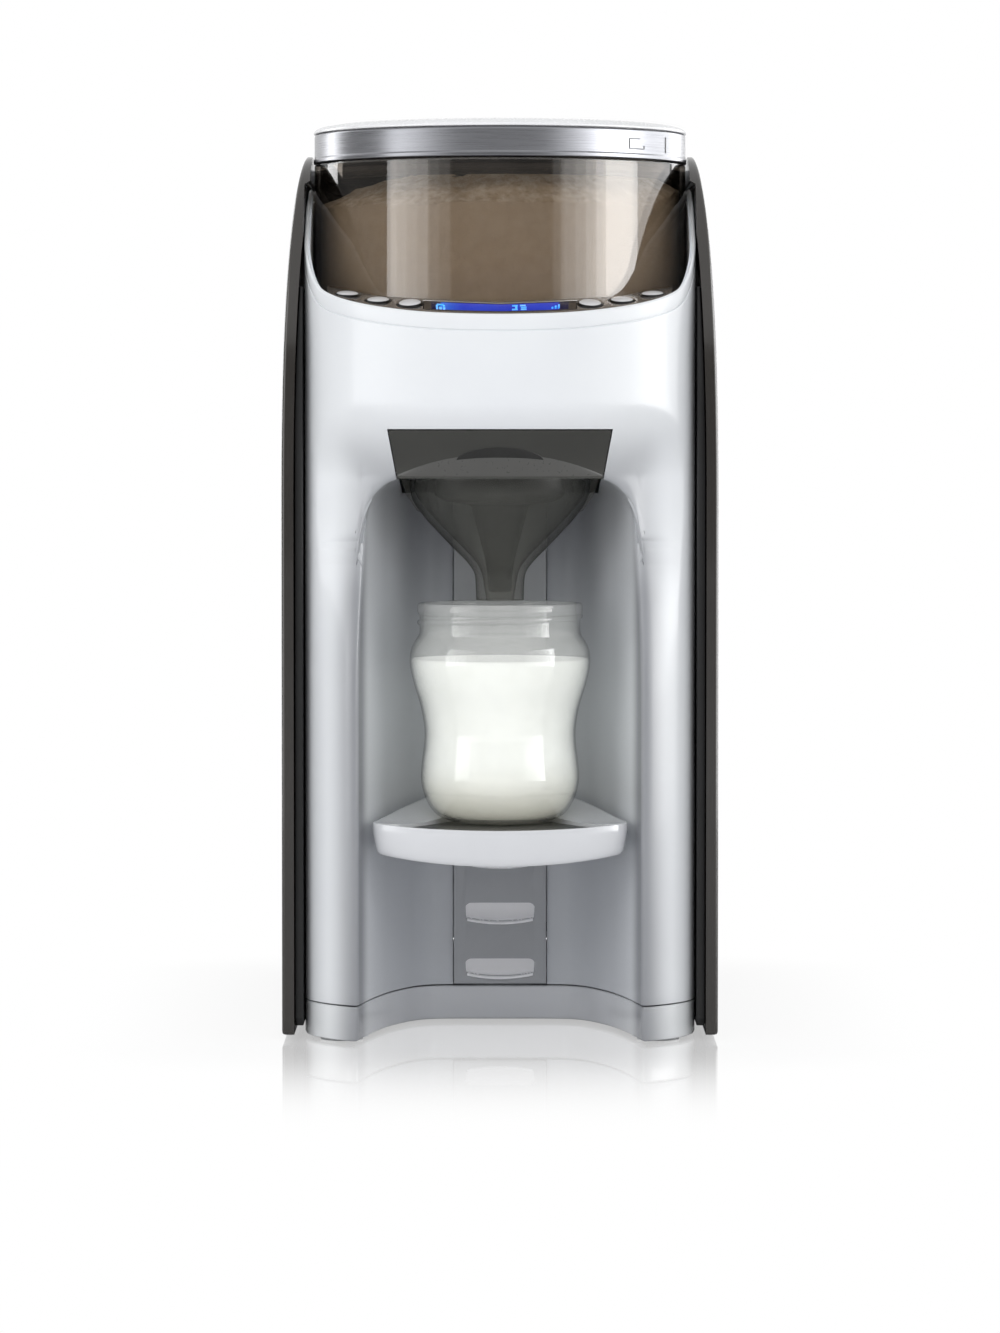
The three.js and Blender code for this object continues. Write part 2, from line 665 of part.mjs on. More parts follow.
const buttonHole = disc(buttonRadius + fitGap, -2 * bandThickness, bandThickness, 0, 0, 20);
let bezel = bandStrip(-1, 1, 0, 1, 0, bandThickness, bandSteps);
bezel = cut(
  bezel,
  bandStrip(-displayShare, displayShare, displayEdge[0], displayEdge[1], -cutOver, 2 * bandThickness, 18),
  ...buttonPlaces.map((place) => placed(buttonHole, place)),
);
piece("control_bezel", bezel, bandBlack);
const edgeGap = 0.02;
const lensShare = displayShare - 0.006;
piece(
  "display_lens",
  bandStrip(-lensShare, lensShare, displayEdge[0] + edgeGap, displayEdge[1] - edgeGap, 0.1, displayRecess, 18),
  displayBlue,
);
buttonPlaces.forEach((place, i) => {
  const cap = disc(buttonRadius, -buttonStem, buttonProud, 0, 0, 20);
  const stem = disc(2, -bandThickness - 1.2, -buttonStem + 0.2, 0, 0, 8);
  piece(`button_${i + 1}`, placed(cap.add(stem), place), buttonBlack);
});
const boardDrop = bandThickness + 1.2 + buttonTravel + 0.6;
piece("control_board", bandStrip(-0.94, 0.94, 0.22, 0.8, boardDrop, boardDrop + 1.6, 24), boardGreen);
piece("display_module", bandStrip(-0.4, 0.4, 0.24, 0.78, displayRecess + 0.4, boardDrop - 0.3, 12), greyPlastic);

// Powder container with its dosing wheel, outlet cover and stirrer
const containerLow = deckHeight + seatGap;
const containerHeight = 69.5;
const containerTop = containerLow + containerHeight;
const containerWall = 2.2;
const containerFloor = 2.5;
const containerEdge = 4; // rounding of the lower edge
const dogHole = 5.5;
const outletRadius = 7;
const containerFloorTop = containerLow + containerFloor;
const containerInside = containerRadius - containerWall;
const containerSteps = 48;
const container = turned(
  [
    [dogHole, containerLow],
    [containerRadius - containerEdge, containerLow],
    [containerRadius - 0.3 * containerEdge, containerLow + 0.3 * containerEdge],
    [containerRadius, containerLow + containerEdge],
    [containerRadius, containerTop],
    [containerInside, containerTop],
    [containerInside, containerFloorTop + containerEdge],
    [containerInside - containerEdge, containerFloorTop],
    [dogHole, containerFloorTop],
  ],
  0, containerAxisY, containerSteps,
);
const grooveGap = 0.6; // air beside the deck's ring
const grooveRise = 0.5; // air over it
const underGroove = turned(
  [[seatInner - grooveGap, containerLow - cutOver], [seatOuter + grooveGap, containerLow - cutOver],
    [seatOuter + grooveGap, deckHeight + seatRise + grooveRise], [seatInner - grooveGap, deckHeight + seatRise + grooveRise]],
  0, containerAxisY, 40,
);
const wheelRadius = 44;
const wheelLow = containerFloorTop + seatGap;
const wheelHeight = 9;
const wheelTop = wheelLow + wheelHeight;
const pocketRadius = 6.4;
const pocketCount = 8;
const outletReach = containerAxisY - outletY;
const containerBody = cut(
  container,
  underGroove,
  disc(outletRadius, 0, containerFloorTop + cutOver, 0, outletY, 20),
);
piece("powder_container", containerBody, smokeClear);

const hexagon = (radius, low, high, y) => disc(radius, low, high, 0, y, 6);
const postRadius = 5;
const dogRadius = 4.4;
const dogTop = wheelLow + 5;
const dosingWheel = cut(
  join(
    disc(wheelRadius, wheelLow, wheelTop, 0, containerAxisY, 44),
    hexagon(postRadius, wheelTop - cutOver, wheelTop + 8, containerAxisY),
  ),
  hexagon(dogRadius + fitGap, 0, dogTop + seatGap, containerAxisY),
  ...Array.from({ length: pocketCount }, (_, i) => {
    const angle = (2 * Math.PI * i) / pocketCount;
    return disc(
      pocketRadius, 0, wheelTop + cutOver,
      outletReach * Math.sin(angle), containerAxisY - outletReach * Math.cos(angle), 14,
    );
  }),
);
piece("dosing_wheel", dosingWheel, gearIvory);

// The cover over the outlet stands on the container's floor beside the wheel.
const coverRise = 0.5;
const coverPlate = 1.8;
const coverLowZ = wheelTop + coverRise;
const coverAngle = Math.PI / 7;
function sector(inner, outer, angle, low, high, steps = 8) {
  const points = [];
  for (let i = 0; i <= steps; i++) {
    const a = mix(-angle, angle, i / steps);
    points.push([outer * Math.sin(a), containerAxisY - outer * Math.cos(a)]);
  }
  for (let i = steps; i >= 0; i--) {
    const a = mix(-angle, angle, i / steps);
    points.push([inner * Math.sin(a), containerAxisY - inner * Math.cos(a)]);
  }
  return prismZ(points, low, high);
}
const outletCover = sector(18, 64, coverAngle, coverLowZ, coverLowZ + coverPlate)
  .add(sector(wheelRadius + 1.5, 64, coverAngle * 0.8, containerFloorTop + 0.1, coverLowZ + coverPlate / 2));
piece("outlet_cover", outletCover, greyPlastic);

const stirrerLow = coverLowZ + coverPlate + 0.6;
const hubRadius = 9;
const armCount = 3;
const armReach = 65;
const hub = join(
  disc(hubRadius, wheelTop + 0.2, stirrerLow + 16, 0, containerAxisY, 24),
  turned([[0, stirrerLow + 15], [hubRadius, stirrerLow + 15], [hubRadius - 4, stirrerLow + 20], [0, stirrerLow + 21]],
    0, containerAxisY, 24),
);
const armHalf = 1.6;
const armHeight = 5;
const fingerWidth = 4;
const fingerHeight = 26;
const ribHeight = 14;
const paddleReach = 40; // axis to the middle of the tall paddle on the last arm
const paddleHalf = 5;
const paddleHeight = 49;
const arms = Array.from({ length: armCount }, (_, i) => {
  const turn = (360 * i) / armCount;
  const bar = box(0, armReach, -armHalf, armHalf, stirrerLow, stirrerLow + armHeight);
  const finger = box(armReach - fingerWidth, armReach, -armHalf, armHalf, stirrerLow, stirrerLow + fingerHeight);
  const rib = i === armCount - 1
    ? box(paddleReach - armHalf, paddleReach + armHalf, -paddleHalf, paddleHalf, stirrerLow, stirrerLow + paddleHeight)
    : box((armReach - fingerWidth) / 2, (armReach + fingerWidth) / 2, -armHalf, armHalf, stirrerLow, stirrerLow + ribHeight);
  return join(bar, finger, rib).rotate([0, 0, turn]).translate([0, containerAxisY, 0]);
});
const stirrer = cut(join(hub, ...arms), hexagon(postRadius + fitGap, 0, wheelTop + 8 + seatGap, containerAxisY));
piece("stirrer", stirrer, gearIvory);

// Lid: a white cap with a plug, a metal-look band round it and a seal on the plug
const lidHeight = 15.2; // container's rim to the lid's top
const lidTop = containerTop + lidHeight;
const lidBandHeight = 11.3; // container's rim to the band's top
const bandTop = containerTop + lidBandHeight;
const plugGap = 3.1; // container's inner wall to the plug, filled by the seal
const plugRadius = containerInside - plugGap;
const plugWall = 2;
const lidOverhang = 0.3;
const lidRadius = containerRadius + lidOverhang;
const plugDepth = 6.3; // container's rim down to the plug's edge
const plugLow = containerTop - plugDepth;
const sealDrops = [5.3, 4.2, 2.4, 1.3]; // container's rim down to the seal's corners
piece(
  "lid_cap",
  turned(
    [
      [0, lidTop - 3.2], [plugRadius - plugWall, bandTop - 1.2], [plugRadius - plugWall, plugLow],
      [plugRadius, plugLow], [plugRadius, bandTop - 3.6], [lidRadius - 3, bandTop - 1], [lidRadius - 3, bandTop + seatGap],
      [lidRadius, bandTop + seatGap], [lidRadius - 1.2, bandTop + 2],
      [lidRadius - 6, bandTop + 3.1], [48, lidTop - 0.2], [0, lidTop],
    ],
    0, containerAxisY, containerSteps,
  ),
  lidWhite,
);
piece(
  "lid_band",
  turned(
    [[lidRadius - 2.4, containerTop + seatGap], [lidRadius, containerTop + seatGap], [lidRadius, bandTop],
      [lidRadius - 2.4, bandTop]],
    0, containerAxisY, containerSteps,
  ),
  silverBand,
);
piece(
  "lid_seal",
  turned(
    [
      [plugRadius + seatGap, containerTop - sealDrops[0]], [containerInside - seatGap, containerTop - sealDrops[1]],
      [containerInside - seatGap, containerTop - sealDrops[2]], [plugRadius + seatGap, containerTop - sealDrops[3]],
    ],
    0, containerAxisY, 48,
  ),
  sealGrey,
);

// Drive under the deck: bracket, motor, pinion and gear
const toothModule = 1;
const gearTeeth = 36;
const pinionTeeth = 12;
const centrePlay = 0.25;
const gearDrop = 13; // deck down to the gear
const gearLow = deckHeight - gearDrop;
const gearHeight = 6;
const motorY = containerAxisY + (toothModule * (gearTeeth + pinionTeeth)) / 2 + centrePlay;
function toothed(teeth, shift, low, high, y) {
  const pitch = (toothModule * teeth) / 2;
  const points = [];
  for (let i = 0; i < teeth; i++) {
    for (const [share, radius] of [
      [-0.3, pitch - 1.25 * toothModule], [-0.13, pitch + toothModule],
      [0.13, pitch + toothModule], [0.3, pitch - 1.25 * toothModule],
    ]) {
      const angle = (2 * Math.PI * (i + share + shift)) / teeth;
      points.push([radius * Math.cos(angle), y + radius * Math.sin(angle)]);
    }
  }
  return prismZ(points, low, high);
}
const driveGear = join(
  toothed(gearTeeth, 0, gearLow, gearLow + gearHeight, containerAxisY),
  disc(5.6, gearLow, deckHeight - 0.4, 0, containerAxisY, 24),
  hexagon(dogRadius, deckHeight - cutOver, dogTop, containerAxisY),
  disc(2.6, gearLow - 4.2, gearLow + cutOver, 0, containerAxisY, 16),
);
piece("drive_gear", driveGear, gearIvory);
const shaftRadius = 1.5;
const drivePinion = cut(
  toothed(pinionTeeth, 0.5, gearLow - 0.5, gearLow + gearHeight, motorY),
  disc(shaftRadius + 0.15, 0, deckHeight, 0, motorY, 16),
);
piece("drive_pinion", drivePinion, gearIvory);
const bracketTop = gearLow - 1.2;
const bracketPlate = 2.5;
const bracketHalf = 30;
const bracketDeep = 34; // half depth
const bracketShift = 11; // container's axis to the bracket's middle
const bracketY = containerAxisY + bracketShift;
const postX = 26;
const postReach = 29;
const posts = [[-postX, -postReach], [postX, -postReach], [-postX, postReach], [postX, postReach]]
  .map(([x, reach]) => [x, bracketY + reach]);
const bracket = cut(
  join(
    box(-bracketHalf, bracketHalf, bracketY - bracketDeep, bracketY + bracketDeep, bracketTop - bracketPlate, bracketTop),
    ...posts.map(([x, y]) => disc(3.5, bracketTop - bracketPlate, deckHeight - deckPlate - seatGap, x, y, 16)),
  ),
  disc(3, 0, deckHeight, 0, containerAxisY, 20),
  disc(4.4, 0, deckHeight, 0, motorY, 20),
);
piece("drive_bracket", bracket, greyPlastic);
const motorRadius = 13;
const motorHeight = 36; // gear down to the motor's end
const motorLow = gearLow - motorHeight;
const motorEnd = 3; // bearing cap under it
const motor = join(
  disc(motorRadius, motorLow, bracketTop - bracketPlate - seatGap, 0, motorY, 32),
  disc(4, motorLow, bracketTop - 0.2, 0, motorY, 20),
  disc(shaftRadius, motorLow, gearLow + gearHeight + 1.5, 0, motorY, 16),
  disc(5, motorLow - motorEnd, motorLow + cutOver, 0, motorY, 20),
);
piece("gear_motor", motor, steel);

// Chute from the deck to the funnel
const chuteDrop = 31; // deck down to the chute's mouth, just over the funnel
const chuteLow = deckHeight - chuteDrop;
const chuteBore = chuteRadius - 1.6;
const chuteOutside = chuteRadius - 0.4;
const collarRadius = 12.5;
const collarDrops = [6.4, 5.6, 3.6]; // deck down to the collar's cone, edge and top
const chute = turned(
  [
    [chuteBore, chuteLow], [chuteOutside, chuteLow], [chuteOutside, deckHeight - collarDrops[0]],
    [collarRadius, deckHeight - collarDrops[1]], [collarRadius, deckHeight - collarDrops[2]],
    [chuteRadius, deckHeight - collarDrops[2]], [chuteRadius, deckHeight - seatGap], [chuteBore, deckHeight - seatGap],
  ],
  0, outletY, 24,
);
piece("powder_chute", chute, greyPlastic);

// Mixing funnel: an open box that slides in the hood, with a cone and spout under it
const funnelWall = 2;
const funnelBack = funnelBackY - 0.4;
const coneTopRadius = 34.5;
const spoutRadius = 9.05;
const spoutBore = 5.06;
const spoutLow = 166;
const coneSteps = 36;
const boxFloor = bayTop + funnelWall;
const funnelPrism = (inset, low) => {
  const slope = (funnelTopHalf - funnelLowHalf) / (funnelTop - bayTop);
  const half = (z) => funnelLowHalf + slope * (z - bayTop) - inset;
  const high = inset > 0 ? funnelTop + cutOver : funnelTop;
  return prismY(
    [[-half(low), low], [half(low), low], [half(high), high], [-half(high), high]],
    frontY, funnelBack - inset,
  ).intersect(bodySolid(inset, low - cutOver, high + cutOver, rearY));
};
const coneOuter = turned(
  [[0, spoutLow], [spoutRadius, spoutLow], [spoutRadius + 0.4, 176], [12.5, 180.5], [19, 187], [28, 196.5], [33.4, 204.5],
    [coneTopRadius, boxFloor], [0, boxFloor]],
  0, pourY, coneSteps,
);
const coneInner = turned(
  [[0, spoutLow - cutOver], [spoutBore, spoutLow - cutOver], [spoutBore + 1.4, 178], [10.6, 182.4], [17.2, 189],
    [26, 198], [31.2, 205.4], [coneTopRadius - funnelWall, boxFloor + cutOver], [0, boxFloor + cutOver]],
  0, pourY, coneSteps,
);
const ears = [-1, 1].map((side) =>
  prismY([[38.2, bayTop + 0.5], [29, bayTop + 0.5], [29.5, 199], [32.6, 199], [35.4, 205]].map(([x, z]) => [side * x, z]),
    pourY - 1.2, pourY + 1.2),
);
const funnel = cut(join(funnelPrism(0, bayTop), coneOuter, ...ears), coneInner, funnelPrism(funnelWall, boxFloor));
piece("funnel", funnel, funnelSmoke);
const railLow = bayTop + wall + 0.3;
const railTop = funnelTop - 1.5;
const railThickness = 3;
for (const [side, word] of [[-1, "left"], [1, "right"]]) {
  const slope = (funnelTopHalf - funnelLowHalf) / (funnelTop - bayTop);
  const face = (z) => funnelLowHalf + slope * (z - bayTop) + slotClear;
  const rail = prismY(
    [[face(railLow), railLow], [face(railLow) + railThickness, railLow], [face(railTop) + railThickness, railTop],
      [face(railTop), railTop]].map(([x, z]) => [side * x, z]),
    frontY + 36, funnelBackY,
  );
  piece(`funnel_rail_${word}`, rail, greyPlastic);
}

// Slot panel let into the bay's back wall: three slots hold the tray at three heights
const slotHalf = 13;
const slotHeights = [[18.4, 25], [39.8, 46.8], [61.5, 68.5]];
const slotDepth = 8;
const slotWall = 1.5;
const stripFront = bayBackY + 0.2;
const stripBack = bayBackY + wall;
let slotPanel = box(-stripHalf, stripHalf, stripFront, stripBack, stripLow, stripTop);
for (const [low, high] of slotHeights) {
  slotPanel = join(
    slotPanel,
    box(-slotHalf - slotWall, slotHalf + slotWall, stripFront + 1, stripBack + slotDepth, low - slotWall, high + slotWall),
    disc(slotHalf, low - slotWall, low, 0, 0, 32).scale([1, 0.17, 1]).translate([0, stripFront + 0.2, 0]),
  );
}
slotPanel = cut(
  slotPanel,
  ...slotHeights.map(([low, high]) =>
    box(-slotHalf, slotHalf, stripFront - 3, stripBack + slotDepth - slotWall, low, high)),
);
piece("slot_panel", slotPanel, slotGrey);

// Tray: plan as [half width, depth from the front vertex], a rising back and a tongue for the slots
const trayLow = 69;
const trayTop = 81;
const trayPlan = [[0, 10.4], [14, 10.9], [27, 12.5], [37, 15], [43.4, 18.2], [47, 22], [48, 27], [46.6, 37], [44.4, 48], [41.2, 60],
  [37.4, 71.5], [33, 81], [29.4, 88], [27.6, 94.4]];
const trayBack = frontY + trayPlan[trayPlan.length - 1][1];
const flatEnd = frontY + 84;
const trayRise = 9;
const matDepth = 1.6;
const matInset = 3;
const insetPlan = (inset) => trayPlan.slice(0, -3).map(([x, depth], i) => {
  const share = x / 48;
  return [Math.max(0, x - inset * share), frontY + depth + (i < 6 ? inset : 0)];
});
const mirrored = (points) => [...points, ...points.filter(([x]) => x > 0).map(([x, y]) => [-x, y]).reverse()];
const trayOutline = mirrored(trayPlan.map(([x, depth]) => [x, frontY + depth]));
const trayHollow = trayPlan.map(([x, depth], i) => [x - wall * (x / 48) * 1.3, frontY + depth + (i < 7 ? wall : i === 13 ? -wall : 0)]);
const tongueLow = 62.4;
const tongueTop = 67.2;
const tongueHalf = 11.5;
let tray = prismZ(trayOutline, trayLow, trayTop).subtract(prismZ(mirrored(trayHollow), trayLow - cutOver, trayTop - 3.6));
tray = join(
  tray,
  prismX([[flatEnd, trayTop - 2], [trayBack, trayTop - 2], [trayBack, trayTop + trayRise], [trayBack - wall, trayTop + trayRise],
    [flatEnd, trayTop]], -28.4, 28.4).intersect(prismZ(trayOutline, trayLow, trayTop + 2 * trayRise)),
  box(-tongueHalf, tongueHalf, trayBack - wall, trayBack, tongueLow, trayTop),
  box(-tongueHalf, tongueHalf, trayBack - wall, stripBack + slotDepth - slotWall - 1.5, tongueLow, tongueTop),
);
const matOutline = mirrored(insetPlan(matInset));
const matLow = trayTop - matDepth;
tray = cut(tray, prismZ(mirrored(insetPlan(matInset - 0.3)), matLow - 0.3, trayTop + cutOver));
piece("tray_frame", tray, whiteGloss);
piece("tray_mat", prismZ(matOutline, matLow, trayTop - 0.1), matGrey);

// Bottle: a clear wide-neck jar with a thread under its rim
const bottleLow = trayTop + 0.2;
const bottleWall = 1.8;
const bottleProfile = [
  [0, 81.2], [17.7, 81.2], [24, 84.6], [29.2, 92], [30.6, 104.5], [29.9, 120], [31, 130], [34.2, 138.5], [34.7, 143], [33.2, 148.5],
  [30.5, 153], [30.5, 155.5], [32.4, 158], [31.6, 160.5], [31.6, 165],
];
const bottleShift = bottleLow - bottleProfile[0][1];
const bottleInside = bottleProfile.slice(1).map(([r, z], i) => [r - bottleWall, i === 0 ? z + 2.4 : z + (i < 4 ? 1.2 : 0)]);
const bottle = turned(
  [...bottleProfile, ...bottleInside.reverse(), [0, bottleProfile[0][1] + 2.4]].map(([r, z]) => [r, z + bottleShift]),
  0, pourY, 32,
);
piece("bottle", bottle, bottleClear);

// Water tank, lifted out upwards: tank, valve in its outlet, lid hinged on two ears at the back
const tankHalfX = 65;
const tankLowY = 65.5;
const tankHighY = 141;
const tankCentreY = (tankLowY + tankHighY) / 2;
const tankHalfY = (tankHighY - tankLowY) / 2;
const tankLow = 97;
const tankTop = 324.6;
const tankWall = 2.2;
const tankCorner = 14;
const tankFloor = tankLow + 2.4;
const stubRadius = 6;
const stubBore = 4.2;
const stubLow = 91;
const hingeY = 138;
const hingeZ = 327;
const earX = 40;
const earThickness = 3.2;
const pinRadius = 1.5;
const alongX = (solid) => solid.rotate([0, 90, 0]);
const barX = (radius, lowX, highX, y, z, steps = 16) =>
  alongX(disc(radius, lowX, highX, 0, 0, steps)).translate([0, y, z]);
const tankEars = [-1, 1].map((side) =>
  cut(
    box(side * earX - earThickness / 2, side * earX + earThickness / 2, hingeY - 3, tankHighY - 0.2, 312, hingeZ)
      .add(barX(3, side * earX - earThickness / 2, side * earX + earThickness / 2, hingeY, hingeZ)),
    barX(pinRadius + 0.3, side * earX - earThickness, side * earX + earThickness, hingeY, hingeZ),
  ),
);
const tankBody = cut(
  join(
    prismZ(roundedRectangle(tankHalfX, tankHalfY, tankCorner, 0, tankCentreY), tankLow, tankTop),
    disc(stubRadius, stubLow, tankLow + cutOver, 0, socketY, 24),
  ),
  prismZ(
    roundedRectangle(tankHalfX - tankWall, tankHalfY - tankWall, tankCorner - tankWall, 0, tankCentreY),
    tankFloor, tankTop + cutOver,
  ),
  disc(stubBore, stubLow - cutOver, tankFloor + cutOver, 0, socketY, 24),
);
piece("water_tank", join(tankBody, ...tankEars), tankClear);
const valveHead = 7.5;
const valveLift = 2.6;
const valveStem = 92.8;
piece(
  "tank_valve",
  disc(valveHead, tankFloor + valveLift, tankFloor + valveLift + 1.8, 0, socketY, 24)
    .add(disc(2, valveStem, tankFloor + valveLift + cutOver, 0, socketY, 16)),
  sealGrey,
);
const socketRadius = 10.6;
const socket = cut(
  join(
    disc(socketRadius, 84, shelfTop - 0.2, 0, socketY, 28),
    disc(15, shelfTop - wall - 2.6, shelfTop - wall - 0.4, 0, socketY, 28),
    disc(4.5, 74, 85, 0, socketY, 20),
  ),
  disc(stubRadius + 0.5, 87.5, tankLow, 0, socketY, 24),
  disc(2.6, 70, 90, 0, socketY, 16),
);
const socketPin = box(-0.9, 0.9, socketY - 3.4, socketY + 3.4, 86.5, valveStem - 0.2)
  .intersect(disc(3.4, 86, valveStem, 0, socketY, 16));
piece("tank_socket", join(socket, socketPin), greyPlastic);

const tankLidLow = 325;
const tankLidTop = 329;
const notchHalf = 2.4;
const lidPlan = roundedRectangle(tankHalfX, tankHalfY, tankCorner, 0, tankCentreY);
let tankLid = join(
  prismZ(lidPlan, tankLidLow, tankLidTop).intersect(
    join(
      box(-tankHalfX, tankHalfX, tankLowY, hingeY, 0, overallDepth + tankTop),
      barX((tankLidTop - tankLidLow) / 2, -tankHalfX, tankHalfX, hingeY, hingeZ, 20),
    ),
  ),
  prismZ(
    roundedRectangle(tankHalfX - 3.2, tankHalfY - 5.5, tankCorner - 3.2, 0, tankCentreY - 2.3), tankLidLow - 4, tankLidTop - 1,
  ).subtract(
    prismZ(
      roundedRectangle(tankHalfX - 5.2, tankHalfY - 7.5, tankCorner - 5.2, 0, tankCentreY - 2.3),
      tankLidLow - 4 - cutOver, tankLidLow,
    ),
  ),
);
for (const side of [-1, 1]) {
  tankLid = tankLid.subtract(box(
    side * earX - notchHalf, side * earX + notchHalf, hingeY - 4.4, tankHighY + cutOver, tankLidLow - cutOver, tankLidTop + cutOver,
  ));
  tankLid = tankLid.add(barX(pinRadius, side * earX - notchHalf - cutOver, side * earX + notchHalf + cutOver, hingeY, hingeZ));
}
tankLid = tankLid.subtract(disc(11, tankLidTop - 1.2, tankLidTop + cutOver, 0, tankLowY + 16, 28));
piece("tank_lid", tankLid, panelBrown);

// A hose along a smooth path: a closed tube with a bore
function hose(path, outer, bore, steps, sides = 8) {
  const curve = new THREE.CatmullRomCurve3(path.map((point) => new THREE.Vector3(...point)));
  const ring = (radius) => circle(radius, 0, 0, sides).map(([x, y]) => new THREE.Vector2(x, y));
  const shape = new THREE.Shape(ring(outer));
  shape.holes.push(new THREE.Path(ring(bore)));
  return solidOf(new THREE.ExtrudeGeometry(shape, { steps, extrudePath: curve, bevelEnabled: false }));
}

// Water side: pump, heater, nozzle and the hoses between them
const hoseOuter = 3.4;
const hoseBore = 2.3;
const pumpX = 38;
const pumpY = 30;
const pumpTop = 58;
const floorZ = baseTop + 0.4;
const pump = join(
  disc(17, floorZ + 3, 40, pumpX, pumpY, 28),
  box(pumpX - 19, pumpX + 19, pumpY - 19, pumpY + 19, floorZ, floorZ + 3.5),
  disc(12, 39, pumpTop, pumpX, pumpY, 24),
  disc(1.9, pumpTop - 1, pumpTop + 7, pumpX - 6, pumpY, 10),
  barX(1.9, pumpX - 26, pumpX - 15, pumpY, 30, 10),
);
piece("water_pump", pump, greyPlastic);
const heaterX = -36;
const heaterY = 28;
const heaterLow = 96;
const heaterHigh = 176;
const heater = join(
  disc(16, heaterLow, heaterHigh, heaterX, heaterY, 28),
  disc(1.9, heaterLow - 7, heaterLow + 1, heaterX, heaterY, 10),
  disc(1.9, heaterHigh - 1, heaterHigh + 7, heaterX, heaterY, 10),
  box(heaterX - 4, heaterX + 4, heaterY + 12, bulkheadY - wall - 0.4, heaterLow + 20, heaterHigh - 20),
);
piece("heater_block", heater, heaterGrey);
const nozzleX = 25;
const nozzleY = pourY - 4;
const nozzleLow = 232;
const nozzleTop = nozzleLow + 9;
const stubLength = 3;
const nozzle = join(
  turned([[0, nozzleLow], [3, nozzleLow], [5, nozzleLow + 3], [5, nozzleTop], [0, nozzleTop]], nozzleX, nozzleY, 16),
  disc(1.9, nozzleTop - 1, nozzleTop + stubLength, nozzleX, nozzleY, 10),
);
piece("water_nozzle", nozzle, greyPlastic);
const endGap = 1.2; // hose end to the face its stub stands on
const rise = 7; // straight run at a hose's end
const pumpStubX = pumpX - 26;
piece(
  "hose_inlet",
  hose(
    [
      [0, socketY, 73], [0, socketY, 66], [0, socketY - 3, 56], [0, 82, 38], [-8, 56, 30], [-9, 38, 30],
      [-2, pumpY, 30], [pumpStubX - 5, pumpY, 30], [pumpStubX + 3, pumpY, 30],
    ],
    hoseOuter, hoseBore, 15,
  ),
  hoseClear,
);
piece(
  "hose_pump",
  hose(
    [
      [pumpX - 6, pumpY, pumpTop + endGap], [pumpX - 6, pumpY, pumpTop + endGap + rise],
      [pumpX - 6, pumpY, pumpTop + endGap + 2 * rise], [14, pumpY, 84], [-18, pumpY, 70], [-33, heaterY, 72],
      [heaterX, heaterY, 79], [heaterX, heaterY, heaterLow - endGap - rise], [heaterX, heaterY, heaterLow - endGap],
    ],
    hoseOuter, hoseBore, 17,
  ),
  hoseClear,
);
piece(
  "hose_outlet",
  hose(
    [
      [heaterX, heaterY, heaterHigh + endGap], [heaterX, heaterY, heaterHigh + endGap + rise],
      [heaterX, heaterY, heaterHigh + endGap + 2 * rise], [-18, 24, 214], [16, 12, 222], [44, -20, 230], [47, -56, 242],
      [42, -74, 251], [34, -85, 255.5], [28, -91, 253.5], [nozzleX, nozzleY, 248.6], [nozzleX, nozzleY, 245.6],
      [nozzleX, nozzleY, nozzleTop + endGap],
    ],
    hoseOuter, hoseBore, 24,
  ),
  hoseClear,
);
const boardY = bayBackY + wall / 2 + boardPostLength + seatGap;
piece(
  "main_board",
  join(
    box(-54, 54, boardY, boardY + 1.6, 78, 150),
    box(-40, -20, boardY + 1.4, boardY + 12, 90, 110),
    box(8, 30, boardY + 1.4, boardY + 8, 100, 124),
    box(-8, 2, boardY + 1.4, boardY + 10, 120, 140),
  ),
  boardGreen,
);
const inletFlange = 1.6;
const inletBody = cut(
  join(
    box(-inletHalfWide + seatGap, inletHalfWide - seatGap, rearY - 24, rearY - 0.6,
      inletZ - inletHalfHigh + seatGap, inletZ + inletHalfHigh - seatGap),
    box(-inletHalfWide - 2, inletHalfWide + 2, plateY - seatGap - inletFlange, plateY - seatGap,
      inletZ - inletHalfHigh - 2, inletZ + inletHalfHigh + 2),
  ),
  box(-12, 12, rearY - 18, rearY + cutOver, inletZ - 8, inletZ + 8),
);
const inletPins = [[-6.5, 0], [0, 3], [6.5, 0]].map(([x, z]) =>
  box(x - 1, x + 1, rearY - 19, rearY - 5, inletZ + z - 2, inletZ + z + 2));
piece("power_inlet", join(inletBody, ...inletPins), blackMatte);

export default group;
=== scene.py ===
"""Countertop baby formula maker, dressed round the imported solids: white gloss tower, smoked powder
container, lit control band, dark mixing funnel, clear bottle on its tray, and the water tank behind.
Sizes are in millimetres in the tables and sums, and become metres where a mesh is made.
+X right, +Y back, +Z up."""

import math

import bmesh
import bpy
import numpy as np
from mathutils import Matrix, Vector, noise


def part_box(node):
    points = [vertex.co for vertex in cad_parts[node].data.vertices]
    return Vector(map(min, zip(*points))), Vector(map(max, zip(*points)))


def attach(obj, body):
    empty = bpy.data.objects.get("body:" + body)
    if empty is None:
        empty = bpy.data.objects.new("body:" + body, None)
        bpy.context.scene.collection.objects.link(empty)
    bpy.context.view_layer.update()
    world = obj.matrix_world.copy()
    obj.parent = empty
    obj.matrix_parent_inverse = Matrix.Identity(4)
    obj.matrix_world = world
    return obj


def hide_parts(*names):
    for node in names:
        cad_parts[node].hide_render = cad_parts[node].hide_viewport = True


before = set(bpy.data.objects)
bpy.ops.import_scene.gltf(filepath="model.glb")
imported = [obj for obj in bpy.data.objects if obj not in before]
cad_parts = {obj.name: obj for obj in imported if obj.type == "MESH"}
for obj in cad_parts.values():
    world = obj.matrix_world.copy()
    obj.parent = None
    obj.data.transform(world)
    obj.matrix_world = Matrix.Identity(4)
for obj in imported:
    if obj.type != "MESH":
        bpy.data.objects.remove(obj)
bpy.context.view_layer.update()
MM = 0.001

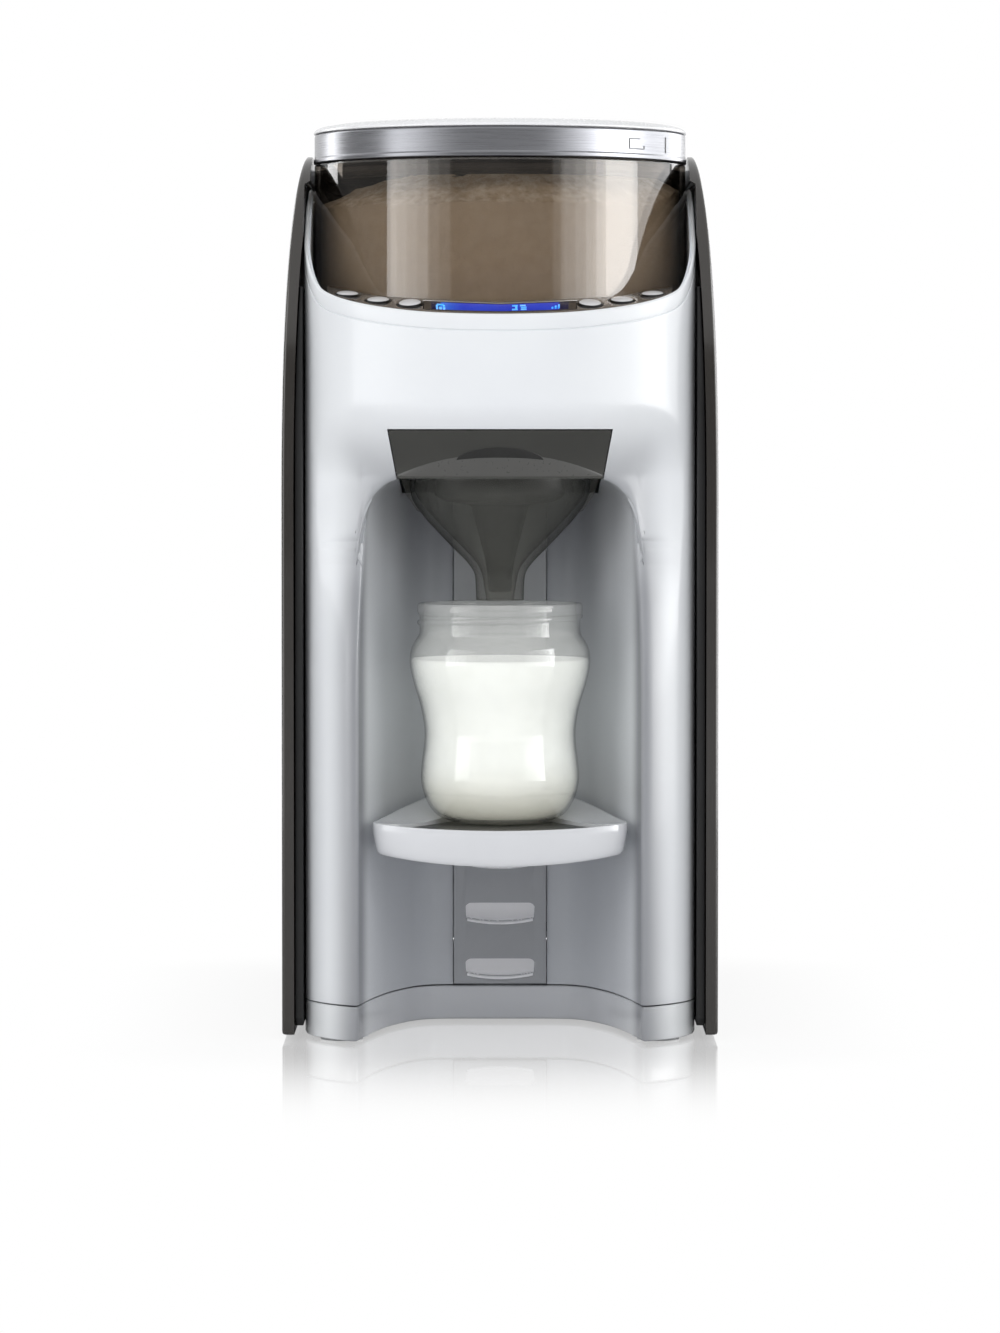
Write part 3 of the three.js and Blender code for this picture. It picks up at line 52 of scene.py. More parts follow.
# Camera: straight from the front at the height of the hood, two metres off, tilted down a little
EYE = Vector((0.0, -2.145, 0.2307))
TILT = 2.51
LENS = 145.6
camera_data = bpy.data.cameras.new("camera")
camera_data.lens = LENS
camera_data.sensor_width = 36
camera_data.clip_end = 20
camera = bpy.data.objects.new("camera", camera_data)
camera.location = EYE
camera.rotation_euler = (math.radians(90 - TILT), 0, 0)
bpy.context.collection.objects.link(camera)
bpy.context.scene.camera = camera
bpy.context.scene.view_settings.view_transform = "Standard"


# Studio: a white room, a wide key from above the camera, and cards that only gloss sees. Each card fills the
# sideways angles that it fills in the mirror of the round container, so their edges fall where the photo has
# them.
AXIS = Vector((0.0, -0.056, 0.29))


def area_light(name, place, aim, size, power):
    data = bpy.data.lights.new(name, "AREA")
    data.shape = "RECTANGLE"
    data.size, data.size_y = size
    data.energy = power
    lamp = bpy.data.objects.new(name, data)
    lamp.location = place
    lamp.rotation_euler = (Vector(aim) - Vector(place)).to_track_quat("-Z", "Y").to_euler()
    bpy.context.collection.objects.link(lamp)
    return lamp


def card(name, near, far, radiance, distance=1.2, height=1.3, rise=0.0):
    """A glowing card seen only in gloss, between two angles from the view direction, right positive."""
    middle = math.radians((near + far) / 2)
    width = 2 * distance * math.tan(math.radians(abs(far - near) / 2))
    place = AXIS + Vector((distance * math.sin(middle), -distance * math.cos(middle), rise))
    lamp = area_light(
        name, place, AXIS + Vector((0, 0, rise)), (width, height), radiance * math.pi * width * height
    )
    lamp.visible_diffuse = False
    return lamp


area_light("key", (0.0, -1.7, 1.35), (0, 0, 0.2), (1.6, 1.0), 9.5).visible_glossy = False
FILL_ASIDE, FILL_AHEAD, FILL_UP = 1.5, -1.3, 0.45
for side, power in ((-1, 6.0), (1, 3.8)):
    fill_place = (side * FILL_ASIDE, FILL_AHEAD, FILL_UP)
    area_light(f"fill_{side}", fill_place, (0, 0, 0.15), (0.9, 1.2), power).visible_glossy = False
RIGHT_CARDS = [
    (32, 39, 0.5), (39, 46, 1.1), (46, 53, 1.9), (53, 60, 3.2), (60, 67, 5.4), (67, 92, 8.5), (92, 128, 3.0)
]
LEFT_CARDS = [
    (-30, -37, 0.5), (-37, -44, 0.9), (-44, -51, 1.4), (-51, -58, 2.0), (-58, -65, 2.7), (-65, -72, 3.4)
]
for number, (near_edge, far_edge, radiance) in enumerate(RIGHT_CARDS + LEFT_CARDS, start=1):
    card(f"card_{number}", near_edge, far_edge, radiance)
card("card_right_edge", 131, 146, 5)
card("card_left_edge", -118, -132, 6)


class Value:
    """One output of a shader node, with arithmetic."""

    def __init__(self, graph, out):
        self.graph = graph
        self.out = out

    def math(self, operation, *others):
        return self.graph.node("ShaderNodeMath", [self, *others], operation=operation)

    def __add__(self, other):
        return self.math("ADD", other)

    def __sub__(self, other):
        return self.math("SUBTRACT", other)

    def __rsub__(self, other):
        return self.graph.node("ShaderNodeMath", [other, self], operation="SUBTRACT")

    def __mul__(self, other):
        return self.math("MULTIPLY", other)

    def __truediv__(self, other):
        return self.math("DIVIDE", other)

    __radd__ = __add__
    __rmul__ = __mul__


class Graph:
    """A new material's node tree, or the world's."""

    def __init__(self, name, world=False):
        self.material = (bpy.data.worlds if world else bpy.data.materials).new(name)
        self.material.use_nodes = True
        self.tree = self.material.node_tree
        self.output = self.tree.nodes["World Output" if world else "Material Output"]
        self.shader = self.tree.nodes["Background" if world else "Principled BSDF"]
        if not world:
            self.place = self.node("ShaderNodeTexCoord", output="Object")

    def put(self, socket, value):
        if isinstance(value, Value):
            self.tree.links.new(value.out, socket)
        else:
            socket.default_value = value

    def node(self, kind, inputs=(), output=0, **settings):
        made = self.tree.nodes.new(kind)
        for name, value in settings.items():
            setattr(made, name, value)
        pairs = inputs.items() if isinstance(inputs, dict) else enumerate(inputs)
        for name, value in pairs:
            self.put(made.inputs[name], value)
        return Value(self, made.outputs[output])

    def noise(self, scale, detail=3, roughness=0.5, place=None):
        return self.node(
            "ShaderNodeTexNoise",
            {"Vector": place or self.place, "Scale": scale, "Detail": detail, "Roughness": roughness},
        )

    def ramp(self, value, low, high, to_low=0.0, to_high=1.0):
        return self.node(
            "ShaderNodeMapRange",
            {"Value": value, "From Min": low, "From Max": high, "To Min": to_low, "To Max": to_high},
            interpolation_type="SMOOTHSTEP",
        )

    def mix(self, factor, a, b):
        return self.node("ShaderNodeMix", {0: factor, 6: a, 7: b}, output=2, data_type="RGBA")

    def mix_shader(self, factor, a, b):
        return self.node("ShaderNodeMixShader", {0: factor, 1: a, 2: b})

    def axes(self):
        split = self.node("ShaderNodeSeparateXYZ", [self.place]).out.node
        return [Value(self, out) for out in split.outputs]

    def bump(self, height, strength, distance):
        self.set(
            "Normal",
            self.node("ShaderNodeBump", {"Height": height, "Strength": strength, "Distance": distance})
        )

    def set(self, name, value):
        self.put(self.shader.inputs[name], value)
        return self

    def surface(self, value=None):
        """The shader itself, or the given one made the material's surface."""
        if value is None:
            return Value(self, self.shader.outputs[0])
        self.put(self.output.inputs["Surface"], value)
        return self.material


def rgb(code, alpha=1.0):
    """The linear colour of an sRGB hex code."""
    channels = [int(code[i : i + 2], 16) / 255 for i in (0, 2, 4)]
    return tuple(c / 12.92 if c <= 0.04045 else ((c + 0.055) / 1.055) ** 2.4 for c in channels) + (alpha,)


def white_room(light):
    """The world: plain white light on the object, and full white where it is looked at, straight or in a
    mirror."""
    g = Graph("studio", world=True)
    rays = g.node("ShaderNodeLightPath").out.node.outputs
    seen = Value(g, rays["Is Camera Ray"])
    for kind in ("Is Glossy Ray", "Is Transmission Ray"):
        seen = seen.math("MAXIMUM", Value(g, rays[kind]))
    g.set("Color", (1, 1, 1, 1)).set("Strength", seen * (1 - light) + light)
    return g.material


bpy.context.scene.world = white_room(0.62)


def mesh_of(name, vertices, faces, material=None, sharp=35):
    """An object from points in millimetres, smooth but for edges sharper than the given angle."""
    mesh = bpy.data.meshes.new(name)
    mesh.from_pydata([tuple(c * MM for c in v) for v in vertices], [], [tuple(f) for f in faces])
    mesh.validate()
    mesh.shade_smooth()
    mesh.set_sharp_from_angle(angle=math.radians(sharp))
    obj = bpy.data.objects.new(name, mesh)
    bpy.context.collection.objects.link(obj)
    if material:
        mesh.materials.append(material)
    return obj


def dark_flag(name, near, far, radiance, distance=1.35, low=-0.14, high=0.26, steps=12):
    """A grey screen seen only in gloss, bent round the container between two angles from the view
    direction."""
    vertices = []
    for a in np.radians(np.linspace(near, far, steps)):
        for rise in (low, high):
            point = AXIS + Vector((distance * math.sin(a), -distance * math.cos(a), rise))
            vertices.append(point / MM)
    faces = [(2 * i, 2 * i + 2, 2 * i + 3, 2 * i + 1) for i in range(steps - 1)]
    g = Graph(name)
    cloud = g.noise(2, 1)
    g.set("Base Color", (0, 0, 0, 1)).set("Specular IOR Level", 0.0).set("Emission Strength", 1.0)
    g.set("Emission Color", g.mix(cloud, (radiance,) * 3 + (1,), (radiance * 1.1,) * 3 + (1,)))
    flag = mesh_of(name, vertices, faces, g.material)
    for rays in ("camera", "diffuse", "transmission", "volume_scatter", "shadow"):
        setattr(flag, f"visible_{rays}", False)


dark_flag("flag_front", -44, 37, 0.16)
dark_flag("flag_left", -118, -72, 0.2)


def floor():
    """White sheet that mirrors what stands on it, less and less away from the feet, and keeps its shadow."""
    half_width, half_depth, fade, mirror = 0.08, 0.14, 0.27, 0.42
    g = Graph("floor")
    g.set("Base Color", rgb("f4f4f5")).set("Roughness", 0.8).set("Specular IOR Level", 0.0)
    x, y, _ = g.axes()
    aside = (x.math("ABSOLUTE") - half_width).math("MAXIMUM", 0.0)
    ahead = (y.math("ABSOLUTE") - half_depth).math("MAXIMUM", 0.0)
    away = (aside * aside + ahead * ahead).math("SQRT")
    camera_ray = Value(g, g.node("ShaderNodeLightPath").out.node.outputs["Is Camera Ray"])
    glow = g.node("ShaderNodeEmission", {"Color": (1, 1, 1, 1), "Strength": 1.0})
    sheet = g.mix_shader(camera_ray * g.ramp(away, 0.0, 0.09, 0.82, 1.0), g.surface(), glow)
    grain = g.noise(60, 2)
    gloss = g.node(
        "ShaderNodeBsdfGlossy", {"Color": (1, 1, 1, 1), "Roughness": g.ramp(grain, 0.2, 0.8, 0.02, 0.04)}
    )
    left = g.ramp(away, 0.0, fade, 1.0, 0.0)
    g.surface(g.mix_shader(left * left * mirror * camera_ray, sheet, gloss))
    reach = 6000.0
    corners = [(-reach, -reach, 0), (reach, -reach, 0), (reach, reach, 0), (-reach, reach, 0)]
    return mesh_of("floor", corners, [(0, 1, 2, 3)], g.material)


floor()


# Base pan: white moulded tray turned over, its front wall following the nose and the bottle bay to the
# worktop. It carries the four feet in pads and is held to the housings by four screws from below.
def corners(node):
    """A CAD node's lowest and highest corner, in millimetres."""
    low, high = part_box(node)
    return Vector(low) / MM, Vector(high) / MM


def plastic(name, light, dark, roughness, grain=900, depth=0.02, coat=0.0, spread=0.03, blotch=14, tint=None):
    """Moulded plastic: a slow change of tone, a fine grain in the gloss and a faint flow ripple."""
    g = Graph(name)
    slow = g.noise(blotch, 4)
    fine = g.noise(grain, 2)
    tone = g.mix(g.ramp(slow, 0.3, 0.7), rgb(light), rgb(dark))
    g.set("Base Color", tint(g, tone) if tint else tone)
    g.set("Roughness", g.ramp(fine, 0.25, 0.75, roughness - spread, roughness + spread))
    g.set("Coat Weight", coat).set("Coat Roughness", 0.05)
    g.bump(fine * 0.2 + slow, 0.2, depth * MM)
    return g.material


FRONT_LOW, FRONT_HIGH = corners("front_housing")
REAR_HIGH = corners("rear_housing")[1]
BASE_LOW, BASE_HIGH = corners("base_pan")
FRONT = FRONT_LOW.y  # front vertex of the nose
HALF = FRONT_HIGH.x  # half width of the white body
NOSE = 50.0  # depth of the half ellipse that rounds the front in plan
BAY_TOP = 212.5
BAY_BACK = FRONT + 96.0
SCOOP = (16.0, 29.0, 130.0, 205.0)  # depth, reach from the bay, heights where it starts and is full
MOUTH_ROUND = 5.0

# Bay wall in plan, as half width and depth from the front vertex
BAY_PLAN = [
    (53, 2), (53, 18), (50, 36), (48, 46), (45.4, 57), (42, 69), (37.6, 80), (33.9, 87.6), (30.2, 92.2),
    (26.4, 94.8), (22.4, 95.8), (18.5, 96),
]


def smoothstep(low, high, value):
    t = np.clip((value - low) / (high - low), 0.0, 1.0)
    return t * t * (3 - 2 * t)


def smooth_path(points, count):
    """Evenly spaced points on a Catmull-Rom curve through the given ones."""
    p = np.array(points, float)
    ends = np.vstack([2 * p[0] - p[1], p, 2 * p[-1] - p[-2]])
    t = np.linspace(0, 1, 24, endpoint=False)[:, None]
    runs = []
    for i in range(len(p) - 1):
        a, b, c, d = ends[i : i + 4]
        runs.append(0.5 * (
            2 * b + (c - a) * t + (2 * a - 5 * b + 4 * c - d) * t**2
            + (3 * b - a - 3 * c + d) * t**3
        ))
    fine = np.vstack([*runs, p[-1:]])
    length = np.concatenate([[0], np.cumsum(np.linalg.norm(np.diff(fine, axis=0), axis=1))])
    places = np.linspace(0, length[-1], count)
    return np.column_stack([np.interp(places, length, fine[:, k]) for k in range(fine.shape[1])])


BAY_CURVE = smooth_path(BAY_PLAN, 400)


def nose_y(x, z):
    """Front face of the body at a place across and a height, with the scoop round the bay."""
    depth, reach, low, full = SCOOP
    share = np.sqrt(np.clip(1 - (x / HALF) ** 2, 0, 1))
    off = np.hypot(np.maximum(0, np.abs(x) - 53), np.maximum(0, z - BAY_TOP))
    scoop = depth * smoothstep(low, full, z) * (1 - smoothstep(0, reach, off))
    return FRONT + NOSE - NOSE * share + scoop * smoothstep(0, 0.5, share)


SIDE_STEPS, NOSE_STEPS, MOUTH_STEPS, BAY_STEPS, BACK_STEPS = 6, 26, 9, 36, 7


def plan_curve(z):
    """Right half of the body's front in plan: side wall, nose, rounded mouth edge, bay wall, back wall."""
    curve_y = FRONT + BAY_CURVE[:, 1]
    inside = np.argmax(curve_y >= nose_y(BAY_CURVE[:, 0], z))
    corner_x = BAY_CURVE[inside, 0]
    corner = np.array([corner_x, nose_y(corner_x, z)])
    begin_x = corner_x + MOUTH_ROUND
    side = [(HALF, y) for y in np.linspace(FRONT_HIGH.y, FRONT + NOSE, SIDE_STEPS, endpoint=False)]
    angles = np.linspace(0, math.acos(begin_x / HALF), NOSE_STEPS, endpoint=False)
    nose = [(HALF * math.cos(a), nose_y(HALF * math.cos(a), z)) for a in angles]
    walk = np.linalg.norm(np.diff(np.column_stack([BAY_CURVE[:, 0], curve_y])[inside:], axis=0), axis=1)
    leave = inside + np.searchsorted(np.cumsum(walk), MOUTH_ROUND)
    begin = np.array([begin_x, nose_y(begin_x, z)])
    end = np.array([BAY_CURVE[leave, 0], curve_y[leave]])
    mouth = [
        (1 - t) ** 2 * begin + 2 * t * (1 - t) * corner + t * t * end
        for t in np.linspace(0, 1, MOUTH_STEPS, endpoint=False)
    ]
    rest = np.linspace(leave, len(BAY_CURVE) - 1, BAY_STEPS).astype(int)
    bay = [(BAY_CURVE[i, 0], curve_y[i]) for i in rest]
    back = [(x, BAY_BACK) for x in np.linspace(BAY_CURVE[-1, 0], 0, BACK_STEPS + 1)[1:]]
    return np.array([*side, *nose, *mouth, *bay, *back]), begin_x


def mirrored(half):
    """A right half from the back to the middle, with its left half after it."""
    left = half[:-1][::-1].copy()
    left[:, 0] *= -1
    return np.vstack([half, left])


def offset_ring(ring, distance):
    """A closed plan outline moved inwards by a distance, along its own normals."""
    along = np.roll(ring, -1, axis=0) - np.roll(ring, 1, axis=0)
    along /= np.maximum(np.linalg.norm(along, axis=1, keepdims=True), 1e-9)
    inward = np.column_stack([along[:, 1], -along[:, 0]])
    area = np.sum(ring[:, 0] * np.roll(ring[:, 1], -1) - np.roll(ring[:, 0], -1) * ring[:, 1])
    return ring - inward * distance * (1 if area > 0 else -1)


def skin(name, rows, material=None, ring=True, ends=True, sharp=35, flip=False):
    """A surface through rows of points; ring closes each row on itself, ends caps the first and last."""
    rows = np.asarray(rows, float)
    count, width = rows.shape[:2]
    faces = []
    for r in range(count - 1):
        for c in range(width if ring else width - 1):
            n = (c + 1) % width
            face = (r * width + c, r * width + n, (r + 1) * width + n, (r + 1) * width + c)
            faces.append(face[::-1] if flip else face)
    if ends:
        faces.append(tuple(range(width))[::-1])
        faces.append(tuple((count - 1) * width + c for c in range(width)))
    obj = mesh_of(name, rows.reshape(-1, 3), faces, material, sharp)
    if ends:
        close(obj)
    return obj


def close(obj, sharp=35):
    """Merges doubles, turns the faces outwards and sets the sharp edges again."""
    work = bmesh.new()
    work.from_mesh(obj.data)
    bmesh.ops.remove_doubles(work, verts=work.verts, dist=1e-6)
    bmesh.ops.triangulate(work, faces=[face for face in work.faces if len(face.verts) > 4])
    bmesh.ops.recalc_face_normals(work, faces=work.faces)
    work.to_mesh(obj.data)
    work.free()
    obj.data.shade_smooth()
    obj.data.set_sharp_from_angle(angle=math.radians(sharp))
    return obj


def applied(obj, sharp=35):
    """The object with its modifiers made part of its mesh."""
    result = bpy.data.meshes.new_from_object(obj.evaluated_get(bpy.context.evaluated_depsgraph_get()))
    obj.modifiers.clear()
    obj.data = result
    result.shade_smooth()
    result.set_sharp_from_angle(angle=math.radians(sharp))
    return obj


def combined(obj, operation, *tools):
    """Cuts the tools out of the object, or joins them to it; the tools go."""
    for tool in tools:
        step = obj.modifiers.new("cut", "BOOLEAN")
        step.operation = operation
        step.solver = "MANIFOLD"
        step.object = tool
    applied(obj)
    for tool in tools:
        bpy.data.objects.remove(tool)
    return obj


def bevelled(obj, width, segments=2, angle=40, sharp=35):
    """Rounds the edges sharper than the angle."""
    step = obj.modifiers.new("round", "BEVEL")
    step.width = width * MM
    step.segments = segments
    step.limit_method = "ANGLE"
    step.angle_limit = math.radians(angle)
    step.use_clamp_overlap = True
    step.miter_outer = "MITER_ARC"
    return applied(obj, sharp)


def levels(outline, heights_and_insets):
    """Rows of a closed plan outline, each at a height and an inset."""
    return [
        np.column_stack([offset_ring(outline, inset), np.full(len(outline), z)])
        for z, inset in heights_and_insets
    ]


def disc_tool(name, radius, low, high, x, y, steps=48):
    angles = np.linspace(0, 2 * math.pi, steps, endpoint=False)
    outline = np.column_stack([x + radius * np.cos(angles), y + radius * np.sin(angles)])
    return skin(name, levels(outline, [(low, 0), (high, 0)]))


def block(name, low, high, material=None):
    """A box between two corners."""
    (x0, y0, z0), (x1, y1, z1) = low, high
    outline = np.array([(x0, y0), (x1, y0), (x1, y1), (x0, y1)], float)
    rows = [np.column_stack([outline, np.full(4, z)]) for z in (z0, z1)]
    return skin(name, rows, material)


def rear_outline(steps=14, radius=20.0):
    back = REAR_HIGH.y
    angles = np.linspace(0, math.pi / 2, steps)
    left = [(-HALF + radius - radius * math.cos(a), back - radius + radius * math.sin(a)) for a in angles]
    right = [(-x, y) for x, y in reversed(left)]
    return np.array([*left, *right])


def base_outline():
    return np.vstack([mirrored(plan_curve(FRONT_LOW.z)[0]), rear_outline()])


def painted_bay_shade(deep, start=14.0, end=74.0):
    """Body colour with painted shade: it turns to the bay's grey from the mouth inwards, greys in the scoop
    round the hood's opening, and is greyer still high at the back of the bay, under the hood.
    """

    def tint(g, tone):
        x, y, z = g.axes()
        depth = (y - FRONT * MM) * (1 / MM)
        inside = g.ramp(x.math("ABSOLUTE") * (1 / MM), 49.0, 55.0, 1.0, 0.0)
        below = g.ramp(z * (1 / MM), BAY_TOP - 2, BAY_TOP + 4, 1.0, 0.0)
        within = g.ramp(depth, 98.0, 99.0, 1.0, 0.0)
        # painted shade: the bay's walls grey with depth from the mouth
        painted_shade_amount = g.ramp(depth, start, end) * inside * below * within
        # painted shade in the scoop round the hood's opening
        scoop = g.ramp(depth, 1.0, 8.0, 0.0, 0.9) * g.ramp(
            x.math("ABSOLUTE") * (1 / MM), 54.0, 66.0, 1.0, 0.0
        )
        scoop = scoop * g.ramp(
            z * (1 / MM), BAY_TOP - 8, BAY_TOP + 22, 1.0, 0.0
        ) * g.ramp(depth, 24.0, 40.0, 1.0, 0.0)
        # painted shadow high at the back of the bay, under the hood
        dark = g.ramp(z * (1 / MM), 118, 205) * g.ramp(depth, 66, 92)
        tone = g.mix(scoop, tone, rgb("8a8c91"))
        return g.mix(dark * within * inside, g.mix(painted_shade_amount, tone, rgb(deep)), rgb("9799a0"))

    return tint


# The body and the base pan take painted shade in the bay and round the scoop.
body_white = plastic("body_white", "eef1f4", "eaedf1", 0.24, coat=0.1, tint=painted_bay_shade("c9ccd1"))
body_white.node_tree.nodes["Principled BSDF"].inputs["Specular IOR Level"].default_value = 0.22
base_white = plastic("base_white", "eceff1", "e7eaec", 0.24, coat=0.2, tint=painted_bay_shade("d2d4d8"))
foot_rubber = plastic("foot_rubber", "c9cbcc", "bfc1c3", 0.7)
screw_zinc = plastic("screw_zinc", "b9bbbe", "a5a7ab", 0.3, grain=2600)


def made_base_pan():
    outline = base_outline()
    rows = [
        (BASE_LOW.z, 1.0), (BASE_LOW.z + 0.3, 0.35), (BASE_LOW.z + 1, 0), (BASE_HIGH.z - 0.5, 0),
        (BASE_HIGH.z, 0.4)
    ]
    pan = skin("base_pan_shell", levels(outline, rows))
    hollow = skin("hollow", levels(outline, [(BASE_LOW.z - 1, 2.8), (BASE_HIGH.z - 2.5, 2.8)]))
    combined(pan, "DIFFERENCE", hollow)
    pads, holes = [], []
    for i in range(1, 5):
        for node, wide, deep in ((f"foot_{i}", 1.9, 0.3), (f"base_screw_{i}", 2.3, 0.4)):
            low, high = corners(node)
            x, y = (low.x + high.x) / 2, (low.y + high.y) / 2
            radius = (high.x - low.x) / 2
            pads.append(disc_tool("pad", radius + wide, BASE_LOW.z, BASE_HIGH.z - 1, x, y))
            depth = 2.9 if node.startswith("foot") else 6.2
            holes.append(disc_tool("hole", radius + deep, -1, depth, x, y))
    combined(pan, "UNION", *pads)
    combined(pan, "DIFFERENCE", *holes)
    pan.data.materials.clear()
    pan.data.materials.append(base_white)
    return pan


base_pan = made_base_pan()
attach(base_pan, "housing")
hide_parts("base_pan")


def finish_node(material, *names):
    """Gives CAD nodes their material."""
    for name in names:
        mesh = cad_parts[name].data
        mesh.materials.clear()
        mesh.materials.append(material)


finish_node(foot_rubber, *[f"foot_{i}" for i in range(1, 5)])
finish_node(screw_zinc, *[f"base_screw_{i}" for i in range(1, 5)])


# Front housing: one glossy white moulding, the rounded nose with a soft scoop round the bottle bay, the bay
# itself and the hood over it. A fine seam runs under its top edge, and the mixing funnel slides in a slot in
# the hood.
ARCH_WIDTH, ARCH_HEIGHT, CEILING_ROUND = 17.0, 25.0, 4.0
SHELL_WALL = 2.2
TOP_EDGE = [
    (0, 273.8), (3.4, 274.6), (8.6, 276.2), (15.9, 278.5), (23, 281), (28.2, 283.2), (32, 285.6), (36, 289.2),
    (41, 294.6), (47, 300.8), (54, 306.8), (63, 312.8), (74, 318.4), (89, 323.2), (105, 324.5), (170, 324.5),
]
TOP_CURVE = smooth_path(TOP_EDGE, 300)


def top_height(depth):
    return np.interp(depth, TOP_CURVE[:, 0], TOP_CURVE[:, 1])


def ceiling(x):
    """Height of the bay's ceiling at a place across, with its elliptical corners."""
    share = np.clip((np.abs(x) - (53 - ARCH_WIDTH)) / ARCH_WIDTH, 0, 1)
    return BAY_TOP - ARCH_HEIGHT * (1 - np.sqrt(np.clip(1 - share**2, 0, 1)))


def ceiling_profile():
    """Steps of the way from the bay wall over the ceiling to the front: part, share or angle, and
    progress."""
    arc = np.linspace(0, math.pi / 2, 8)
    return [
        *[("back", a) for a in arc], *[("flat", t) for t in np.linspace(0, 1, 8)[1:-1]],
        *[("front", a) for a in arc]
    ]


def housing_rows():
    outside = SIDE_STEPS + NOSE_STEPS
    rows = []
    rise = np.linspace(0, 1, 44)
    plan_high, begin_high = plan_curve(BAY_TOP)
    columns = len(plan_high)
    wall = np.arange(columns) < SIDE_STEPS
    across = np.linspace(begin_high, 0, columns - outside)
    plain_x = np.concatenate([plan_high[:outside, 0], across])
    plain_y = np.where(wall, plan_high[:, 1], nose_y(plain_x, BAY_TOP))
    gap = np.hypot(plan_high[:, 0] - plain_x, plan_high[:, 1] - plain_y)
    loose = 8.0 * (1 - smoothstep(0, 14, gap))
    low_end = ceiling(plan_high[:, 0]) - CEILING_ROUND - loose / 2
    for t in rise:
        z = FRONT_LOW.z + t * (low_end - FRONT_LOW.z)
        if t * (low_end.max() - FRONT_LOW.z) + FRONT_LOW.z <= SCOOP[2]:
            plan = plan_curve(FRONT_LOW.z)[0]
        else:
            plan = np.array([plan_curve(height)[0][i] for i, height in enumerate(z)])
        rows.append(np.column_stack([plan, z]))
    profile = ceiling_profile()
    bay_side = rows[-1][:, :2]
    gap = np.hypot(bay_side[:, 0] - plain_x, bay_side[:, 1] - plain_y)
    radius = np.minimum(CEILING_ROUND, gap / 2)
    for step, (part, value) in enumerate(profile[1:], start=1):
        progress = step / (len(profile) - 1)
        lift = {
            "back": -CEILING_ROUND * (1 - math.sin(value)), "flat": 0.0,
            "front": CEILING_ROUND * (1 - math.cos(value))
        }
        gone = {
            "back": radius * (1 - math.cos(value)), "flat": radius + value * (gap - 2 * radius),
            "front": gap - radius * (1 - math.sin(value)),
        }[part]
        share = np.where(gap > 2.0, gone / np.maximum(gap, 1e-6), progress)
        x = bay_side[:, 0] + share * (plain_x - bay_side[:, 0])
        z = ceiling(x) + lift[part] + loose * (progress - 0.5)
        front_y = np.where(wall, bay_side[:, 1], nose_y(plain_x, z))
        y = bay_side[:, 1] + share * (front_y - bay_side[:, 1])
        rows.append(np.column_stack([x, y, z]))
    low = rows[-1][:, 2]
    edge_y = np.where(wall, plan_high[:, 1], nose_y(plain_x, 260.0))
    top = top_height(edge_y - FRONT)
    normal = np.column_stack([plain_x / HALF**2, (edge_y - FRONT - NOSE) / NOSE**2])
    normal[:SIDE_STEPS] = (1, 0)
    normal /= np.linalg.norm(normal, axis=1, keepdims=True)
    seam, seam_half, seam_depth = 6.2, 0.2, 0.55
    marks = [(seam + seam_half + 0.15, 0), (seam + seam_half, seam_depth), (seam - seam_half, seam_depth)]
    marks += [(seam - seam_half - 0.15, 0), (3.5, 0), (1.2, 0), (0.7, 0.08), (0.3, 0.3), (0, 0.7)]
    high = top - marks[0][0] - 1.0
    for t in np.linspace(0, 1, 34)[1:]:
        z = low + t * (high - low)
        y = np.where(wall, plan_high[:, 1], nose_y(plain_x, z))
        rows.append(np.column_stack([plain_x, y, z]))
    for under, inset in marks:
        rows.append(np.column_stack([
            plain_x - normal[:, 0] * inset, edge_y - normal[:, 1] * inset, top - under
        ]))
    return [mirrored(row) for row in rows]


FUNNEL_LOW, FUNNEL_HIGH = corners("funnel")
BOX_LOW_HALF, BOX_TOP_HALF, SLOT_GAP = 38.5, 41.7, 0.4
STRIP_LOW, STRIP_HIGH = corners("slot_panel")
STRIP_TOP, STRIP_HALF = STRIP_HIGH.z, 18.0


def funnel_half(z, grow=0.0):
    return BOX_LOW_HALF + (BOX_TOP_HALF - BOX_LOW_HALF) * (z - BAY_TOP) / (FUNNEL_HIGH.z - BAY_TOP) + grow


def slot_tool():
    low, high = BAY_TOP - 6, FUNNEL_HIGH.z + SLOT_GAP
    section = [(-1, low), (1, low), (1, high), (-1, high)]
    rows = [
        [(s * funnel_half(z, SLOT_GAP), y, z) for s, z in section]
        for y in (FRONT - 5, FUNNEL_HIGH.y + SLOT_GAP)
    ]
    return skin("slot_tool", rows)


def made_front_housing():
    shell = skin("front_shell", housing_rows(), body_white, ring=False, ends=False, flip=True)
    thick = shell.modifiers.new("wall", "SOLIDIFY")
    thick.thickness = SHELL_WALL * MM
    thick.offset = -1
    thick.use_quality_normals = True
    applied(shell)
    strip = block(
        "strip_tool",
        (-STRIP_HALF - 0.3, BAY_BACK - 1, FRONT_LOW.z - 1), (STRIP_HALF + 0.3, BAY_BACK + 4, STRIP_TOP + 0.3),
    )
    combined(shell, "DIFFERENCE", slot_tool(), strip)
    shell.data.materials.clear()
    shell.data.materials.append(body_white)
    return bevelled(shell, 0.35, 2, angle=60)


front_housing = made_front_housing()
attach(front_housing, "housing")
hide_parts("front_housing")


# Rear housing and top cover: the same white plastic, the walls beside and ahead of the water tank and the
# bridge behind the powder container. Their corners are moulded round; each is dressed from its own solid.
def dressed(node, material, width=0.4, segments=2, angle=30, body="housing"):
    """A merged copy of a CAD node with rounded edges, which stands for it."""
    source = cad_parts[node]
    mesh = source.data.copy()
    obj = bpy.data.objects.new(node + "_piece", mesh)
    bpy.context.collection.objects.link(obj)
    mesh.materials.clear()
    mesh.materials.append(material)
    close(obj)
    work = bmesh.new()
    work.from_mesh(mesh)
    bmesh.ops.dissolve_limit(
        work, angle_limit=math.radians(0.6), verts=work.verts, edges=work.edges,
        use_dissolve_boundaries=False,
    )
    work.to_mesh(mesh)
    work.free()
    if width:
        bevelled(obj, width, segments, angle)
    mesh = obj.data
    mesh.shade_smooth()
    mesh.set_sharp_from_angle(angle=math.radians(35))
    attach(obj, body)
    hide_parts(node)
    return obj


dressed("rear_housing", body_white, 0.5)
dressed("top_cover", body_white, 0.6)


